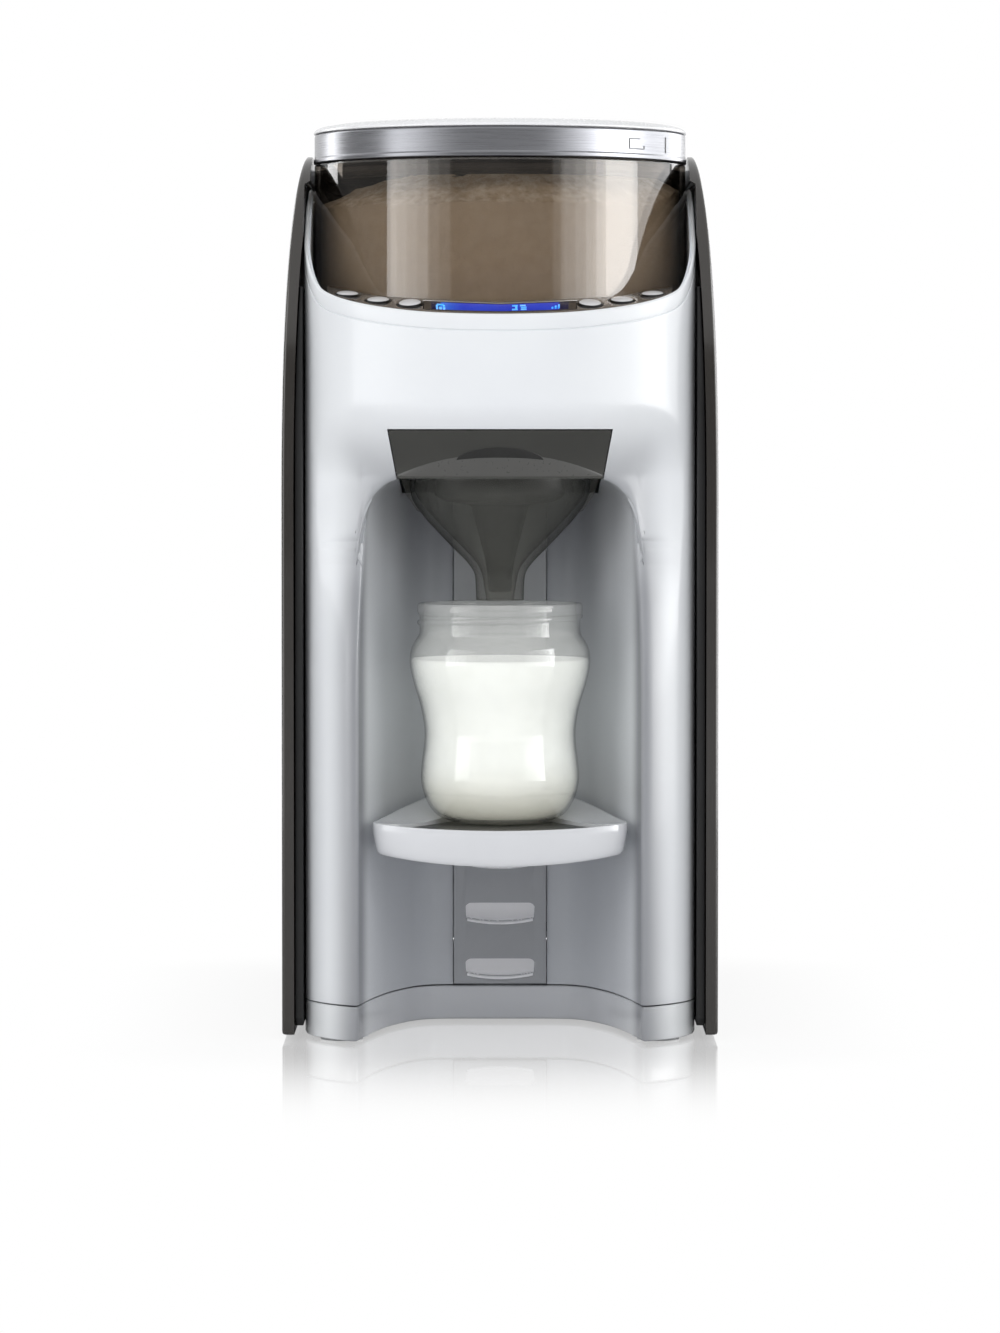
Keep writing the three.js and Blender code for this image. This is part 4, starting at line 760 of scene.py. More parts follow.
# Side panels: bowed glossy dark brown skins clipped on at each side over a matte black spacer. The panel
# sweeps back and in towards the lid, and its outer edges are rounded.
panel_brown = plastic("panel_brown", "2e2b28", "282522", 0.24, coat=0.3)
spacer_black = plastic("spacer_black", "19191a", "131314", 0.5, grain=1800, depth=0.05)
PANEL_LOW, PANEL_HIGH = corners("side_panel_right")
BOW_START, BOW_HEIGHT, BOW_IN, PANEL_THICK = 203.0, 134.0, 9.6, 4.6
SWEEP, TAIL, LIP_LOW, LIP_HALF, EDGE = (57.0, 86.0), (28.0, 40.0), 325.4, 72.4, 1.5
INNER = HALF + 0.3


def panel_section(z, shrink=0.0):
    """The panel cut level: inner face, rounded front edge, outer face, rounded back edge."""
    rise = min(1.0, max(0.0, z - BOW_START) / BOW_HEIGHT)
    outer = PANEL_HIGH.x - BOW_IN + BOW_IN * math.sqrt(1 - rise * rise)
    inner = LIP_HALF if z > LIP_LOW else max(INNER, outer - PANEL_THICK)
    outer = max(outer - shrink, inner + 0.3)

    def edge(run, height):
        up = (z - (PANEL_HIGH.z - height)) / height
        return run * (1 - math.sqrt(max(0.0, 1 - up * up))) if up > 0 else 0.0

    front = PANEL_LOW.y + edge(*SWEEP) + shrink
    back = PANEL_HIGH.y - edge(*TAIL) - shrink
    round_x = min(EDGE, (outer - inner) * 0.8)
    arc = np.linspace(0, math.pi / 2, 7)
    points = [(inner, front)]
    points += [(outer - round_x + round_x * math.sin(a), front + EDGE - EDGE * math.cos(a)) for a in arc]
    points += [(outer, mix) for mix in np.linspace(front + EDGE, back - EDGE, 8)[1:-1]]
    points += [(outer - round_x + round_x * math.cos(a), back - EDGE + EDGE * math.sin(a)) for a in arc]
    points += [(inner, back)]
    points += [(inner, mix) for mix in np.linspace(back, front, 8)[1:-1]]
    return [(x, y, z) for x, y in points]


def made_panel(side):
    low, top = PANEL_LOW.z, PANEL_HIGH.z
    heights = [low, low + 0.25, low + 0.7, low + 1.5]
    heights += list(np.linspace(low + 6, top - SWEEP[1], 26))
    heights += [top - SWEEP[1] + SWEEP[1] * math.sin(a) for a in np.linspace(0, math.pi / 2, 52)[1:-1]]
    heights += [top - 0.02]
    rows = []
    for i, z in enumerate(heights):
        shrink = {0: 0.9, 1: 0.35, 2: 0.1}.get(i, 0.0)
        rows.append([(side * x, y, z) for x, y, z in panel_section(z, shrink)])
    panel = skin(f"side_panel_{'right' if side > 0 else 'left'}_piece", rows, panel_brown)
    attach(panel, "housing")
    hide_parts(panel.name.replace("_piece", ""))


for side in (-1, 1):
    made_panel(side)
dressed("side_spacer_left", spacer_black, 0.3)
dressed("side_spacer_right", spacer_black, 0.3)
dressed("container_deck", spacer_black, 0.0)


# Control band: dark glossy strip between the body's top edge and the container, sloping towards the user,
# with the lit display in the middle and three domed push buttons on each side.
LID_LOW, LID_HIGH = corners("lid_band")
AXIS_Y = (LID_LOW.y + LID_HIGH.y) / 2
WELL = 72.2
BAND_SPAN, BAND_INNER_SPAN, BAND_THICK = 64.5, 66.0, 3.4
BAND_INNER = [(0, 278.7), (41.6, 280.9), (54.2, 283.2), (63.7, 284.9), (67, 286.5)]
BAND_RISE = smooth_path([(-12, 278.6), *BAND_INNER], 120)
DISPLAY_SHARE, DISPLAY_EDGE = 28.5 / BAND_SPAN, (0.16, 0.86)
BUTTON_SHARES = (0.515, 0.70, 0.88)
BUTTON_RADIUS = 5.0


def band_point(t, across, drop=0.0):
    """A point of the band's surface, from -1 left to 1 right and from its outer edge 0 to its inner edge
    1."""
    half, deep = HALF - SHELL_WALL - 0.3, NOSE - SHELL_WALL - 0.3
    outer_x = BAND_SPAN * t
    outer_y = FRONT + NOSE - deep * math.sqrt(1 - (outer_x / half) ** 2)
    outer = Vector((outer_x, outer_y, float(top_height(outer_y - FRONT - SHELL_WALL)) - 0.2 - drop))
    inner_x = BAND_INNER_SPAN * t
    inner_z = float(np.interp(abs(inner_x), BAND_RISE[:, 0], BAND_RISE[:, 1]))
    inner = Vector((inner_x, AXIS_Y - math.sqrt(WELL**2 - inner_x**2), inner_z - drop))
    return outer.lerp(inner, across)


def band_strip(name, start, end, outside, inside, top, bottom, steps, material=None, edge=0.0):
    """A strip of the band between two shares of its width, with rounded upper edges."""
    rows = []
    for t in np.linspace(start, end, steps):
        run = (band_point(t, inside) - band_point(t, outside)).length
        e = edge / max(run, 1.0)
        section = [
            (outside, bottom), (inside, bottom), (inside, top + edge), (inside - 0.3 * e, top + 0.3 * edge)
        ]
        section += [
            (inside - e, top), (outside + e, top), (outside + 0.3 * e, top + 0.3 * edge),
            (outside, top + edge)
        ]
        if not edge:
            section = [(outside, bottom), (inside, bottom), (inside, top), (outside, top)]
        rows.append([band_point(t, across, drop) for across, drop in section])
    return skin(name, rows, material)


def button_places():
    """Centre and outward direction of each button on the band's slope, left to right."""
    places = []
    for share in [-s for s in reversed(BUTTON_SHARES)] + list(BUTTON_SHARES):
        across = band_point(share, 1) - band_point(share, 0)
        sideways = band_point(share + 0.02, 0.5) - band_point(share - 0.02, 0.5)
        normal = sideways.cross(across).normalized()
        places.append((band_point(share, 0.5), normal if normal.z > 0 else -normal))
    return places


def placed(obj, centre, normal):
    """Moves a mesh made round the origin to a place, with its Z axis along a direction."""
    turn = Vector((0, 0, 1)).rotation_difference(normal).to_matrix().to_4x4()
    obj.data.transform(Matrix.Translation(Vector(centre) * MM) @ turn)
    return obj


def lathe(name, profile, x=0.0, y=0.0, steps=128, material=None, closed=True, sharp=35):
    """Turns a profile of (radius, height) points about an upright axis; a zero radius closes on it."""
    angles = np.linspace(0, 2 * math.pi, steps, endpoint=False)
    rows = [[(x + r * math.cos(a), y + r * math.sin(a), z) for a in angles] for r, z in profile]
    if closed:
        rows.append(rows[0])
    obj = skin(name, rows, material, ends=False, sharp=sharp)
    return close(obj, sharp)


def rounded(points, radius, steps=4):
    """A closed or open profile with its inner corners rounded."""
    p = [Vector(q) for q in points]
    out = [p[0]]
    for before, corner, after in zip(p, p[1:], p[2:]):
        reach = min(radius, (before - corner).length / 2, (after - corner).length / 2)
        begin = corner + (before - corner).normalized() * reach
        end = corner + (after - corner).normalized() * reach
        for t in np.linspace(0, 1, steps + 1):
            out.append(begin * (1 - t) ** 2 + corner * 2 * t * (1 - t) + end * t * t)
    return [tuple(q) for q in [*out, p[-1]]]


def metal_look():
    """Dark metal-look paint with a faint cloud in its gloss."""
    g = Graph("band_dark")
    cloud = g.noise(30, 3)
    fine = g.noise(1200, 2)
    g.set("Base Color", g.mix(g.ramp(cloud, 0.3, 0.7), rgb("b3b0ad"), rgb("a29f9c")))
    g.set("Metallic", 0.8).set("Roughness", g.ramp(fine, 0.25, 0.75, 0.17, 0.23))
    g.bump(fine, 0.1, 0.01 * MM)
    return g.material


band_dark = metal_look()
button_black = plastic("button_black", "0c0c0d", "08080a", 0.14, spread=0.02)
button_black.node_tree.nodes["Principled BSDF"].inputs["Specular IOR Level"].default_value = 0.25
board_dark = plastic("display_frame", "0b0c10", "08090c", 0.1, coat=0.6, spread=0.02)


def display_material():
    """Backlit window: deep blue with a brighter middle and faint uneven light."""
    g = Graph("display_blue")
    x, _, _ = g.axes()
    off = x.math("ABSOLUTE") * (1 / MM)
    cloud = g.noise(90, 2)
    lit = g.mix(g.ramp(x * (1 / MM), -24, -13), rgb("2f7df0"), rgb("1c37c8"))
    lit = g.mix(g.ramp(cloud, 0.35, 0.75) * 0.4, lit, rgb("2a55e6"))
    glow = g.mix(g.ramp(off, 21.4, 22.6), lit, rgb("04060f"))
    g.set("Base Color", rgb("0a1040")).set("Emission Color", glow).set("Emission Strength", 0.75)
    g.set("Roughness", g.ramp(cloud, 0.2, 0.8, 0.07, 0.12)).set("Specular IOR Level", 0.15)
    return g.material


def made_band():
    bezel = band_strip("control_bezel_piece", -1, 1, 0, 1, 0, BAND_THICK, 90, edge=0.5)
    window = band_strip("window", -DISPLAY_SHARE, DISPLAY_SHARE, *DISPLAY_EDGE, -1, 2 * BAND_THICK, 40)
    holes = [
        placed(disc_tool("hole", BUTTON_RADIUS + 0.35, -8, 4, 0, 0), *place)
        for place in button_places()
    ]
    combined(bezel, "DIFFERENCE", window, *holes)
    bezel.data.materials.clear()
    bezel.data.materials.append(band_dark)
    bevelled(bezel, 0.18, 2, angle=60)
    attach(bezel, "housing")
    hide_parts("control_bezel")


made_band()


def made_display():
    share, (low, high) = DISPLAY_SHARE - 0.006, DISPLAY_EDGE
    lens = band_strip(
        "display_lens_piece", -share, share, low + 0.02, high - 0.02, 0.1, 1.4, 40, display_material(), 0.2
    )
    frame_strip = band_strip(
        "display_frame", -share, share, low + 0.02, high - 0.02, 0.06, 0.4, 40, board_dark
    )
    opening = band_strip("opening", -share * 0.9, share * 0.9, low + 0.1, high - 0.08, -1, 2, 40)
    combined(frame_strip, "DIFFERENCE", opening)
    for obj in (lens, frame_strip):
        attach(obj, "housing")
    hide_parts("display_lens")


made_display()


def mark_material(name, colour, strength):
    g = Graph(name)
    grain = g.noise(400, 2)
    g.set("Base Color", rgb(colour)).set(
        "Emission Color", g.mix(g.ramp(grain, 0.3, 0.7) * 0.3, rgb(colour), (1, 1, 1, 1))
    )
    g.set("Emission Strength", strength).set("Roughness", g.ramp(grain, 0.2, 0.8, 0.25, 0.35))
    return g.material


def made_symbols():
    """Lit symbols of the display, each a few bars: a bottle at the left, two plain numbers and a level
    scale."""
    cyan = mark_material("symbol_cyan", "2f9dff", 0.75)
    bars = [(-0.36, 0.42, 0.006, 0.3), (-0.34, 0.36, 0.008, 0.18), (-0.32, 0.42, 0.006, 0.3)]
    bars += [
        (-0.34, 0.6, 0.02, 0.1), (0.085, 0.36, 0.016, 0.09), (0.093, 0.5, 0.006, 0.3),
        (0.085, 0.64, 0.016, 0.09)
    ]
    bars += [
        (0.135, 0.36, 0.016, 0.09), (0.135, 0.5, 0.016, 0.08), (0.13, 0.64, 0.016, 0.09),
        (0.30, 0.4, 0.005, 0.12)
    ]
    bars += [(0.318, 0.44, 0.005, 0.2), (0.336, 0.48, 0.005, 0.28)]
    pieces = []
    for i, (centre, across, half, tall) in enumerate(bars):
        pieces.append(band_strip(
            f"bar_{i}", centre - half, centre + half, across - tall / 2, across + tall / 2, 0.02, 0.2, 5
        ))
    first = pieces[0]
    work = bmesh.new()
    for piece in pieces:
        work.from_mesh(piece.data)
    work.to_mesh(first.data)
    work.free()
    for piece in pieces[1:]:
        bpy.data.objects.remove(piece)
    first.name = "display_symbols"
    first.data.materials.append(cyan)
    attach(first, "housing")


made_symbols()


def give_light_face(cap):
    """A light face on the dome of the cap, in a second material."""
    cap.data.materials.append(button_face)
    for face in cap.data.polygons:
        face.material_index = int(face.center.z > 0.5 * MM)


button_face = plastic("button_face", "dedee0", "d2d2d5", 0.3, coat=0.3)


def made_buttons():
    radius = BUTTON_RADIUS
    dome = [
        (radius - 0.9, 0.6), (radius * 0.72, 0.95), (radius * 0.42, 1.25), (radius * 0.15, 1.37), (0, 1.38)
    ]
    profile = [(0, -1.6), (radius, -1.6), (radius, 0.0), (radius - 0.3, 0.28), *dome]
    for i, place in enumerate(button_places(), start=1):
        cap = lathe(f"button_{i}_cap", profile, steps=64, material=button_black, closed=False)
        stem = disc_tool("stem", 2, -4.6, -1.4, 0, 0, 24)
        combined(cap, "UNION", stem)
        cap.data.materials.clear()
        cap.data.materials.append(button_black)
        give_light_face(cap)
        placed(cap, *place)
        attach(cap, f"button_{i}")
        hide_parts(f"button_{i}")


made_buttons()


# Powder container: round jar of clear smoked plastic on the deck, with rounded lower edges. It holds the
# dosing wheel, the stirrer and the powder, and lifts off upwards.
JAR_LOW, JAR_HIGH = corners("powder_container")
JAR_RADIUS = JAR_HIGH.x
JAR_WALL, JAR_FLOOR = 2.2, 2.5


def clear_plastic(name, tint, gloss=0.04, base=0.04, film=0.02, haze="ffffff", body=0.0, rim="77726c"):
    """See-through plastic: light passes straight and takes the tint at each face, and a deeper one where
    it is seen
    edge-on, under a mirror-like gloss."""
    g = Graph(name)
    streak = g.noise(35, 3)
    g.set("Base Color", g.mix(streak, rgb(haze), rgb(tint)))
    g.set("Roughness", g.ramp(streak, 0.2, 0.8, gloss, gloss + 0.02))
    passed = g.node("ShaderNodeBsdfTransparent", {"Color": rgb(tint)})
    side = g.node("ShaderNodeBsdfTransparent", {"Color": rgb(rim)})
    mirror = g.node("ShaderNodeBsdfGlossy", {"Color": (1, 1, 1, 1), "Roughness": gloss})
    facing = g.node("ShaderNodeLayerWeight", {"Blend": 0.5}, output=1)
    edge = facing.math("POWER", 5.0) * 0.6 + base
    passed = g.mix_shader(facing.math("POWER", 4.0) * 0.9, passed, side)
    solid = g.mix_shader(g.ramp(streak, 0.3, 0.7, body, body + film), passed, g.surface())
    g.surface(g.mix_shader(edge, solid, mirror))
    return g.material


smoked = clear_plastic("smoked_plastic", "dfdad4", base=0.05, film=0.02, haze="8a7d70", rim="5c554d")
jar_profile = rounded(
    [
        (5.5, JAR_LOW.z), (JAR_RADIUS - 9, JAR_LOW.z), (JAR_RADIUS, JAR_LOW.z), (JAR_RADIUS, JAR_LOW.z + 9),
        (JAR_RADIUS, JAR_HIGH.z), (JAR_RADIUS - JAR_WALL, JAR_HIGH.z), (JAR_RADIUS - JAR_WALL, JAR_LOW.z + 9),
        (JAR_RADIUS - JAR_WALL, JAR_LOW.z + JAR_FLOOR), (JAR_RADIUS - 11, JAR_LOW.z + JAR_FLOOR),
        (5.5, JAR_LOW.z + JAR_FLOOR),
    ],
    4.5, 7,
)
jar = lathe("powder_container_piece", jar_profile, 0, AXIS_Y, 160, smoked)
combined(jar, "DIFFERENCE", disc_tool("outlet", 7, JAR_LOW.z - 1, JAR_LOW.z + JAR_FLOOR + 1, 0, FRONT + 56))
jar.data.materials.clear()
jar.data.materials.append(smoked)
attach(jar, "container")
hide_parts("powder_container")


# Formula powder: a fine cream powder that fills the jar round the stirrer. It stands up to the wall, heaps
# in the middle in two low mounds, and its top is crumbly and glows faintly, as painted light.
def powder_material(name, light, dark, crumbs=1.0):
    g = Graph(name)
    clump = g.noise(220, 6, 0.7)
    grain = g.noise(1500, 3, 0.8)
    heap = g.mix(g.ramp(clump, 0.3, 0.7), rgb(dark), rgb(light))
    g.set("Base Color", g.mix(g.ramp(grain, 0.3, 0.7) * 0.4, heap, rgb(light)))
    g.set("Roughness", g.ramp(grain, 0.2, 0.8, 0.85, 0.98)).set("Specular IOR Level", 0.1)
    g.bump(clump + grain * 0.6, 0.5, 0.9 * crumbs * MM)
    # painted light: the copy for the top glows faintly (crumbs above 1); the sides don't glow
    g.set("Emission Color", heap).set("Emission Strength", 0.05 * (crumbs - 1))
    return g.material


def powder_top(radius, angle):
    """Height of the powder at a place in the jar; angle 0 is the front, right positive."""
    x = radius * math.sin(angle)
    wall = 315.7 + 0.5 * math.sin(3.1 * angle + 0.6) + 7.0 * float(smoothstep(0.8, 1.0, math.sin(angle)))
    rim = max(0.0, min(1.0, (RADIUS_IN - radius) / 30.0))
    mound = 14.0 - 3.2 * math.exp(-(((x + 15) / 6.0) ** 2)) - 4.0 * float(smoothstep(20, 60, abs(x - 8)))
    place = Vector((x * 0.09, radius * math.cos(angle) * 0.09, 0.3))
    crumbs = noise.fractal(place, 0.8, 2.2, 4) * 1.1 + noise.fractal(place * 5.0, 0.8, 2.0, 3) * 0.85
    return wall + mound * math.sin(rim * math.pi / 2) + crumbs * (0.75 + 0.25 * rim)


RADIUS_IN = JAR_RADIUS - JAR_WALL - 0.25


def made_powder():
    steps = 260
    angles = np.linspace(-math.pi, math.pi, steps, endpoint=False)
    floor_z = JAR_LOW.z + JAR_FLOOR + 0.3
    inner, plate = 45.5, 278.3

    def ring(radius, height):
        return [(radius * math.sin(a), AXIS_Y - radius * math.cos(a), height(radius, a)) for a in angles]

    flat = lambda z: (lambda radius, a: z)
    rows = [
        ring(0.02, flat(plate)), ring(inner, flat(plate)), ring(inner, flat(floor_z)),
        ring(RADIUS_IN - 4, flat(floor_z))
    ]
    rows += [ring(RADIUS_IN - 1.3, flat(floor_z + 1.3)), ring(RADIUS_IN, flat(floor_z + 4))]
    rows += [ring(RADIUS_IN, flat(z)) for z in np.linspace(floor_z + 12, 309, 6)]
    rows += [
        ring(radius, powder_top)
        for radius in [*np.linspace(RADIUS_IN, 44, 30), *np.linspace(44, 0.02, 34)[1:]]
    ]
    powder = skin(
        "formula_powder", rows, powder_material("formula_powder", "e6dccd", "dacebd"), ends=True, sharp=80
    )
    # The top faces take a crumblier copy of the powder that glows faintly: painted light on the heap under
    # the lid.
    powder.data.materials.append(powder_material("powder_top", "fff7ea", "bda98c", 3.0))
    for face in powder.data.polygons:
        face.material_index = int(face.normal.z > 0.25 and face.center.z > 0.3)
    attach(powder, "container")


made_powder()


# Stirrer: grey moulding with a hub and three arms on the ivory dosing wheel's post, turning in the powder
def ivory():
    return plastic("gear_ivory", "ebe6d8", "e2dccb", 0.38)


gear_ivory = ivory()
stirrer_grey = plastic("stirrer_grey", "aaa7a3", "a19e9a", 0.35)
dressed("stirrer", stirrer_grey, 0.3, body="stirrer")
dressed("dosing_wheel", gear_ivory, 0.3, body="stirrer")


# Lid: white domed cap with fine grip ribs round its edge, a metal-look band with a moulded lock mark, and a
# dark plug inside that the seal sits on. A twist to the left frees it.
CAP_LOW, CAP_HIGH = corners("lid_cap")
LID_RADIUS, BAND_TOP, LID_TOP = LID_HIGH.x, LID_HIGH.z, CAP_HIGH.z
PLUG_RADIUS = 66.3
lid_white = plastic("lid_white", "f1f2f4", "ebecee", 0.26, coat=0.2)
plug_dark = plastic("plug_dark", "141415", "0e0e0f", 0.5)


def silver_plastic():
    """Metal-look paint with a very fine brushed grain round the band."""
    g = Graph("silver_band")
    x, y, z = g.axes()
    brushed = g.node("ShaderNodeCombineXYZ", [x * 40, y * 40, z * 4000])
    lines = g.noise(1.0, 3, 0.6, place=brushed)
    cloud = g.noise(30, 2)
    g.set("Base Color", g.mix(g.ramp(lines, 0.3, 0.7) * 0.6 + cloud * 0.3, rgb("747579"), rgb("88898d")))
    g.set("Metallic", 0.85).set("Roughness", g.ramp(lines, 0.25, 0.75, 0.26, 0.32))
    g.bump(lines, 0.05, 0.03 * MM)
    return g.material


lid_silver = silver_plastic()


def made_lid():
    rim = BAND_TOP + 0.3
    dome = [
        (LID_RADIUS - 6, BAND_TOP + 3.3), (60, LID_TOP - 0.75), (48, LID_TOP - 0.3), (25, LID_TOP - 0.05),
        (0, LID_TOP)
    ]
    outer = [
        (LID_RADIUS - 3, rim), (LID_RADIUS, rim), (LID_RADIUS, BAND_TOP + 1.2),
        (LID_RADIUS - 1.6, BAND_TOP + 2.5)
    ]
    under = [(0, LID_TOP - 3.0), (PLUG_RADIUS - 0.5, BAND_TOP - 1.0), (LID_RADIUS - 3, BAND_TOP - 1.0)]
    cap = lathe(
        "lid_cap_piece", [*under, *rounded([*outer, *dome], 1.2, 3)], 0, AXIS_Y, 160, lid_white,
        closed=False
    )
    plug = [
        (PLUG_RADIUS - 2, BAND_TOP - 1.2), (PLUG_RADIUS - 2, CAP_LOW.z), (PLUG_RADIUS, CAP_LOW.z),
        (PLUG_RADIUS, BAND_TOP - 1.2)
    ]
    ring = lathe("lid_plug", rounded(plug, 0.5, 3), 0, AXIS_Y, 128, plug_dark)
    low = LID_LOW.z
    face = [
        (LID_RADIUS - 2.4, low), (LID_RADIUS, low), (LID_RADIUS, low + 1.5), (LID_RADIUS - 0.35, low + 1.9)
    ]
    face += [(LID_RADIUS - 0.35, BAND_TOP - 0.6), (LID_RADIUS - 0.7, BAND_TOP), (LID_RADIUS - 2.4, BAND_TOP)]
    band = lathe("lid_band_piece", rounded(face, 0.35, 3), 0, AXIS_Y, 160, lid_silver)
    for piece in (cap, ring, band):
        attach(piece, "lid")
    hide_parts("lid_cap")
    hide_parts("lid_band")


made_lid()


def node_tree(name, **sizes):
    """A geometry tree with a mesh out and named number inputs; returns it with its input and output nodes."""
    tree = bpy.data.node_groups.new(name, "GeometryNodeTree")
    tree.interface.new_socket("Geometry", in_out="OUTPUT", socket_type="NodeSocketGeometry")
    for label, value in sizes.items():
        kind = "NodeSocketInt" if isinstance(value, int) else "NodeSocketFloat"
        tree.interface.new_socket(label, in_out="INPUT", socket_type=kind).default_value = value
    return tree, tree.nodes.new("NodeGroupInput"), tree.nodes.new("NodeGroupOutput")


def grown(name, tree, sizes):
    """The plain mesh that a geometry tree makes with these sizes."""
    obj = bpy.data.objects.new(name, bpy.data.meshes.new(name))
    bpy.context.collection.objects.link(obj)
    step = obj.modifiers.new("grow", "NODES")
    step.node_group = tree
    for item in tree.interface.items_tree:
        if item.in_out == "INPUT" and item.name in sizes:
            step[item.identifier] = sizes[item.name]
    obj.update_tag()
    obj.data = bpy.data.meshes.new_from_object(obj.evaluated_get(bpy.context.evaluated_depsgraph_get()))
    obj.modifiers.clear()
    obj.data.shade_smooth()
    obj.data.set_sharp_from_angle(angle=math.radians(35))
    return obj


def ring_of_ribs(material):
    """Geometry tree: one slim rounded rib repeated round a circle, lying along the radius."""
    sizes = {"Count": 96, "Radius": 0.07, "Length": 0.004, "Width": 0.0008, "Height": 0.0006, "Tilt": 0.3}
    tree, given, made = node_tree("grip_ribs", **sizes)
    link = tree.links.new

    def add(kind, **settings):
        node = tree.nodes.new(kind)
        for key, value in settings.items():
            setattr(node, key, value)
        return node

    circle = add("GeometryNodeMeshCircle")
    link(given.outputs["Count"], circle.inputs["Vertices"])
    link(given.outputs["Radius"], circle.inputs["Radius"])
    size = add("ShaderNodeCombineXYZ")
    for label, socket in (("Length", "X"), ("Width", "Y"), ("Height", "Z")):
        link(given.outputs[label], size.inputs[socket])
    rib = add("GeometryNodeMeshCube")
    for axis in ("X", "Y", "Z"):
        rib.inputs[f"Vertices {axis}"].default_value = 2
    link(size.outputs[0], rib.inputs["Size"])
    smooth = add("GeometryNodeSubdivisionSurface")
    smooth.inputs["Level"].default_value = 1
    link(rib.outputs["Mesh"], smooth.inputs["Mesh"])
    place = add("GeometryNodeInputPosition")
    split = add("ShaderNodeSeparateXYZ")
    link(place.outputs[0], split.inputs[0])
    turn = add("ShaderNodeMath", operation="ARCTAN2")
    link(split.outputs["Y"], turn.inputs[0])
    link(split.outputs["X"], turn.inputs[1])
    angles = add("ShaderNodeCombineXYZ")
    link(given.outputs["Tilt"], angles.inputs["Y"])
    link(turn.outputs[0], angles.inputs["Z"])
    spread = add("GeometryNodeInstanceOnPoints")
    link(circle.outputs["Mesh"], spread.inputs["Points"])
    link(smooth.outputs["Mesh"], spread.inputs["Instance"])
    link(angles.outputs[0], spread.inputs["Rotation"])
    real = add("GeometryNodeRealizeInstances")
    link(spread.outputs[0], real.inputs[0])
    paint = add("GeometryNodeSetMaterial")
    paint.inputs["Material"].default_value = material
    link(real.outputs[0], paint.inputs["Geometry"])
    link(paint.outputs[0], made.inputs[0])
    return tree


ribs = grown(
    "lid_grip_ribs", ring_of_ribs(lid_white),
    {
        "Count": 110, "Radius": (LID_RADIUS - 5.2) * MM, "Length": 6.0 * MM, "Width": 1.2 * MM,
        "Height": 0.7 * MM, "Tilt": 0.26
    },
)
ribs.data.transform(Matrix.Translation((0, AXIS_Y * MM, (BAND_TOP + 2.72) * MM)))
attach(ribs, "lid")


def on_band(name, strokes, material):
    """Thin raised strokes on the band: each from one place to another, as angle in degrees and height,
    and a width."""
    work = bmesh.new()
    for (a0, z0), (a1, z1), width in strokes:
        along = Vector((math.radians(a1 - a0) * LID_RADIUS, z1 - z0))
        side = Vector((-along.y, along.x)).normalized() * width / 2
        steps = max(2, int(along.length / 1.5))
        rows = []
        for i in range(steps + 1):
            t = i / steps
            row = []
            for s, out in ((1, -0.3), (1, 0.12), (-1, 0.12), (-1, -0.3)):
                a = math.radians(a0 + (a1 - a0) * t) + s * side.x / LID_RADIUS
                z = z0 + (z1 - z0) * t + s * side.y
                r = LID_RADIUS - 0.3 + out
                row.append(work.verts.new((r * math.sin(a) * MM, (AXIS_Y - r * math.cos(a)) * MM, z * MM)))
            rows.append(row)
        for one, two in zip(rows, rows[1:]):
            for k in range(4):
                n = (k + 1) % 4
                work.faces.new((one[k], one[n], two[n], two[k]))
        work.faces.new(rows[0][::-1])
        work.faces.new(rows[-1])
    bmesh.ops.recalc_face_normals(work, faces=work.faces)
    mesh = bpy.data.meshes.new(name)
    work.to_mesh(mesh)
    work.free()
    mesh.materials.append(material)
    obj = bpy.data.objects.new(name, mesh)
    bpy.context.collection.objects.link(obj)
    return obj


mark_grey = plastic("mark_grey", "4a4b4d", "414244", 0.4)
middle = (LID_LOW.z + BAND_TOP) / 2
lock_mark = on_band(
    "lid_lock_mark",
    [
        ((43.0, middle + 1.9), (43.0, middle - 1.9), 0.4), ((43.0, middle + 1.9), (47.5, middle + 1.9), 0.4),
        ((43.0, middle - 1.9), (49.5, middle - 1.9), 0.4), ((49.5, middle - 1.9), (49.5, middle - 0.6), 0.4),
        ((61.5, middle + 3.2), (61.5, middle - 2.8), 0.55),
    ],
    mark_grey,
)
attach(lock_mark, "lid")


# Mixing funnel: open box of dark smoked plastic with a cone and spout under it. Its front is flush with the
# hood and bears a low arched relief; inside, a bell and stem guide powder and water down to the spout.
def funnel_plastic():
    """Dark smoked plastic: see-through in the thin cone, nearly solid in the box above it."""
    g = Graph("funnel_smoked")
    _, _, z = g.axes()
    streak = g.noise(26, 3)
    cone = g.ramp(z * (1 / MM), BAY_TOP - 1.5, BAY_TOP + 1.5, 1.0, 0.0)
    g.set(
        "Base Color",
        g.mix(streak, g.mix(cone, rgb("3b3b38"), rgb("6b6c68")), g.mix(cone, rgb("42423f"), rgb("747571")))
    )
    g.set("Roughness", g.ramp(streak, 0.2, 0.8, 0.3, 0.36)).set("Specular IOR Level", 0.35)
    passed = g.node("ShaderNodeBsdfTransparent", {"Color": rgb("f3f2f0")})
    edge = g.node("ShaderNodeBsdfTransparent", {"Color": rgb("55544f")})
    facing = g.node("ShaderNodeLayerWeight", {"Blend": 0.5}, output=1)
    passed = g.mix_shader(facing.math("POWER", 3.0) * 0.9, passed, edge)
    solid = g.ramp(z * (1 / MM), BAY_TOP - 1.5, BAY_TOP + 1.5, 0.2, 0.92) + g.ramp(streak, 0.3, 0.7, 0, 0.04)
    g.surface(g.mix_shader(solid, passed, g.surface()))
    return g.material


funnel_dark = funnel_plastic()
funnel_light = plastic("funnel_relief", "535351", "4d4d4b", 0.3, depth=0.01)
funnel_core = plastic("funnel_core", "1e1e1d", "191918", 0.6, depth=0.01)
POUR_Y = FRONT + 56.0
BOX_WALL = 2.0


def relief(x):
    """Depth of the front's relief: an arched field under a flat brow, with a lower bump in its middle."""
    arch = 213.6 + 8.2 * (1 - min(1.0, abs(x) / 39.0) ** 2.2)
    bump = 219.0 + 5.2 * math.sqrt(max(0.0, 1 - (x / 16.5) ** 2)) if abs(x) < 16.5 else 0.0
    return arch, bump


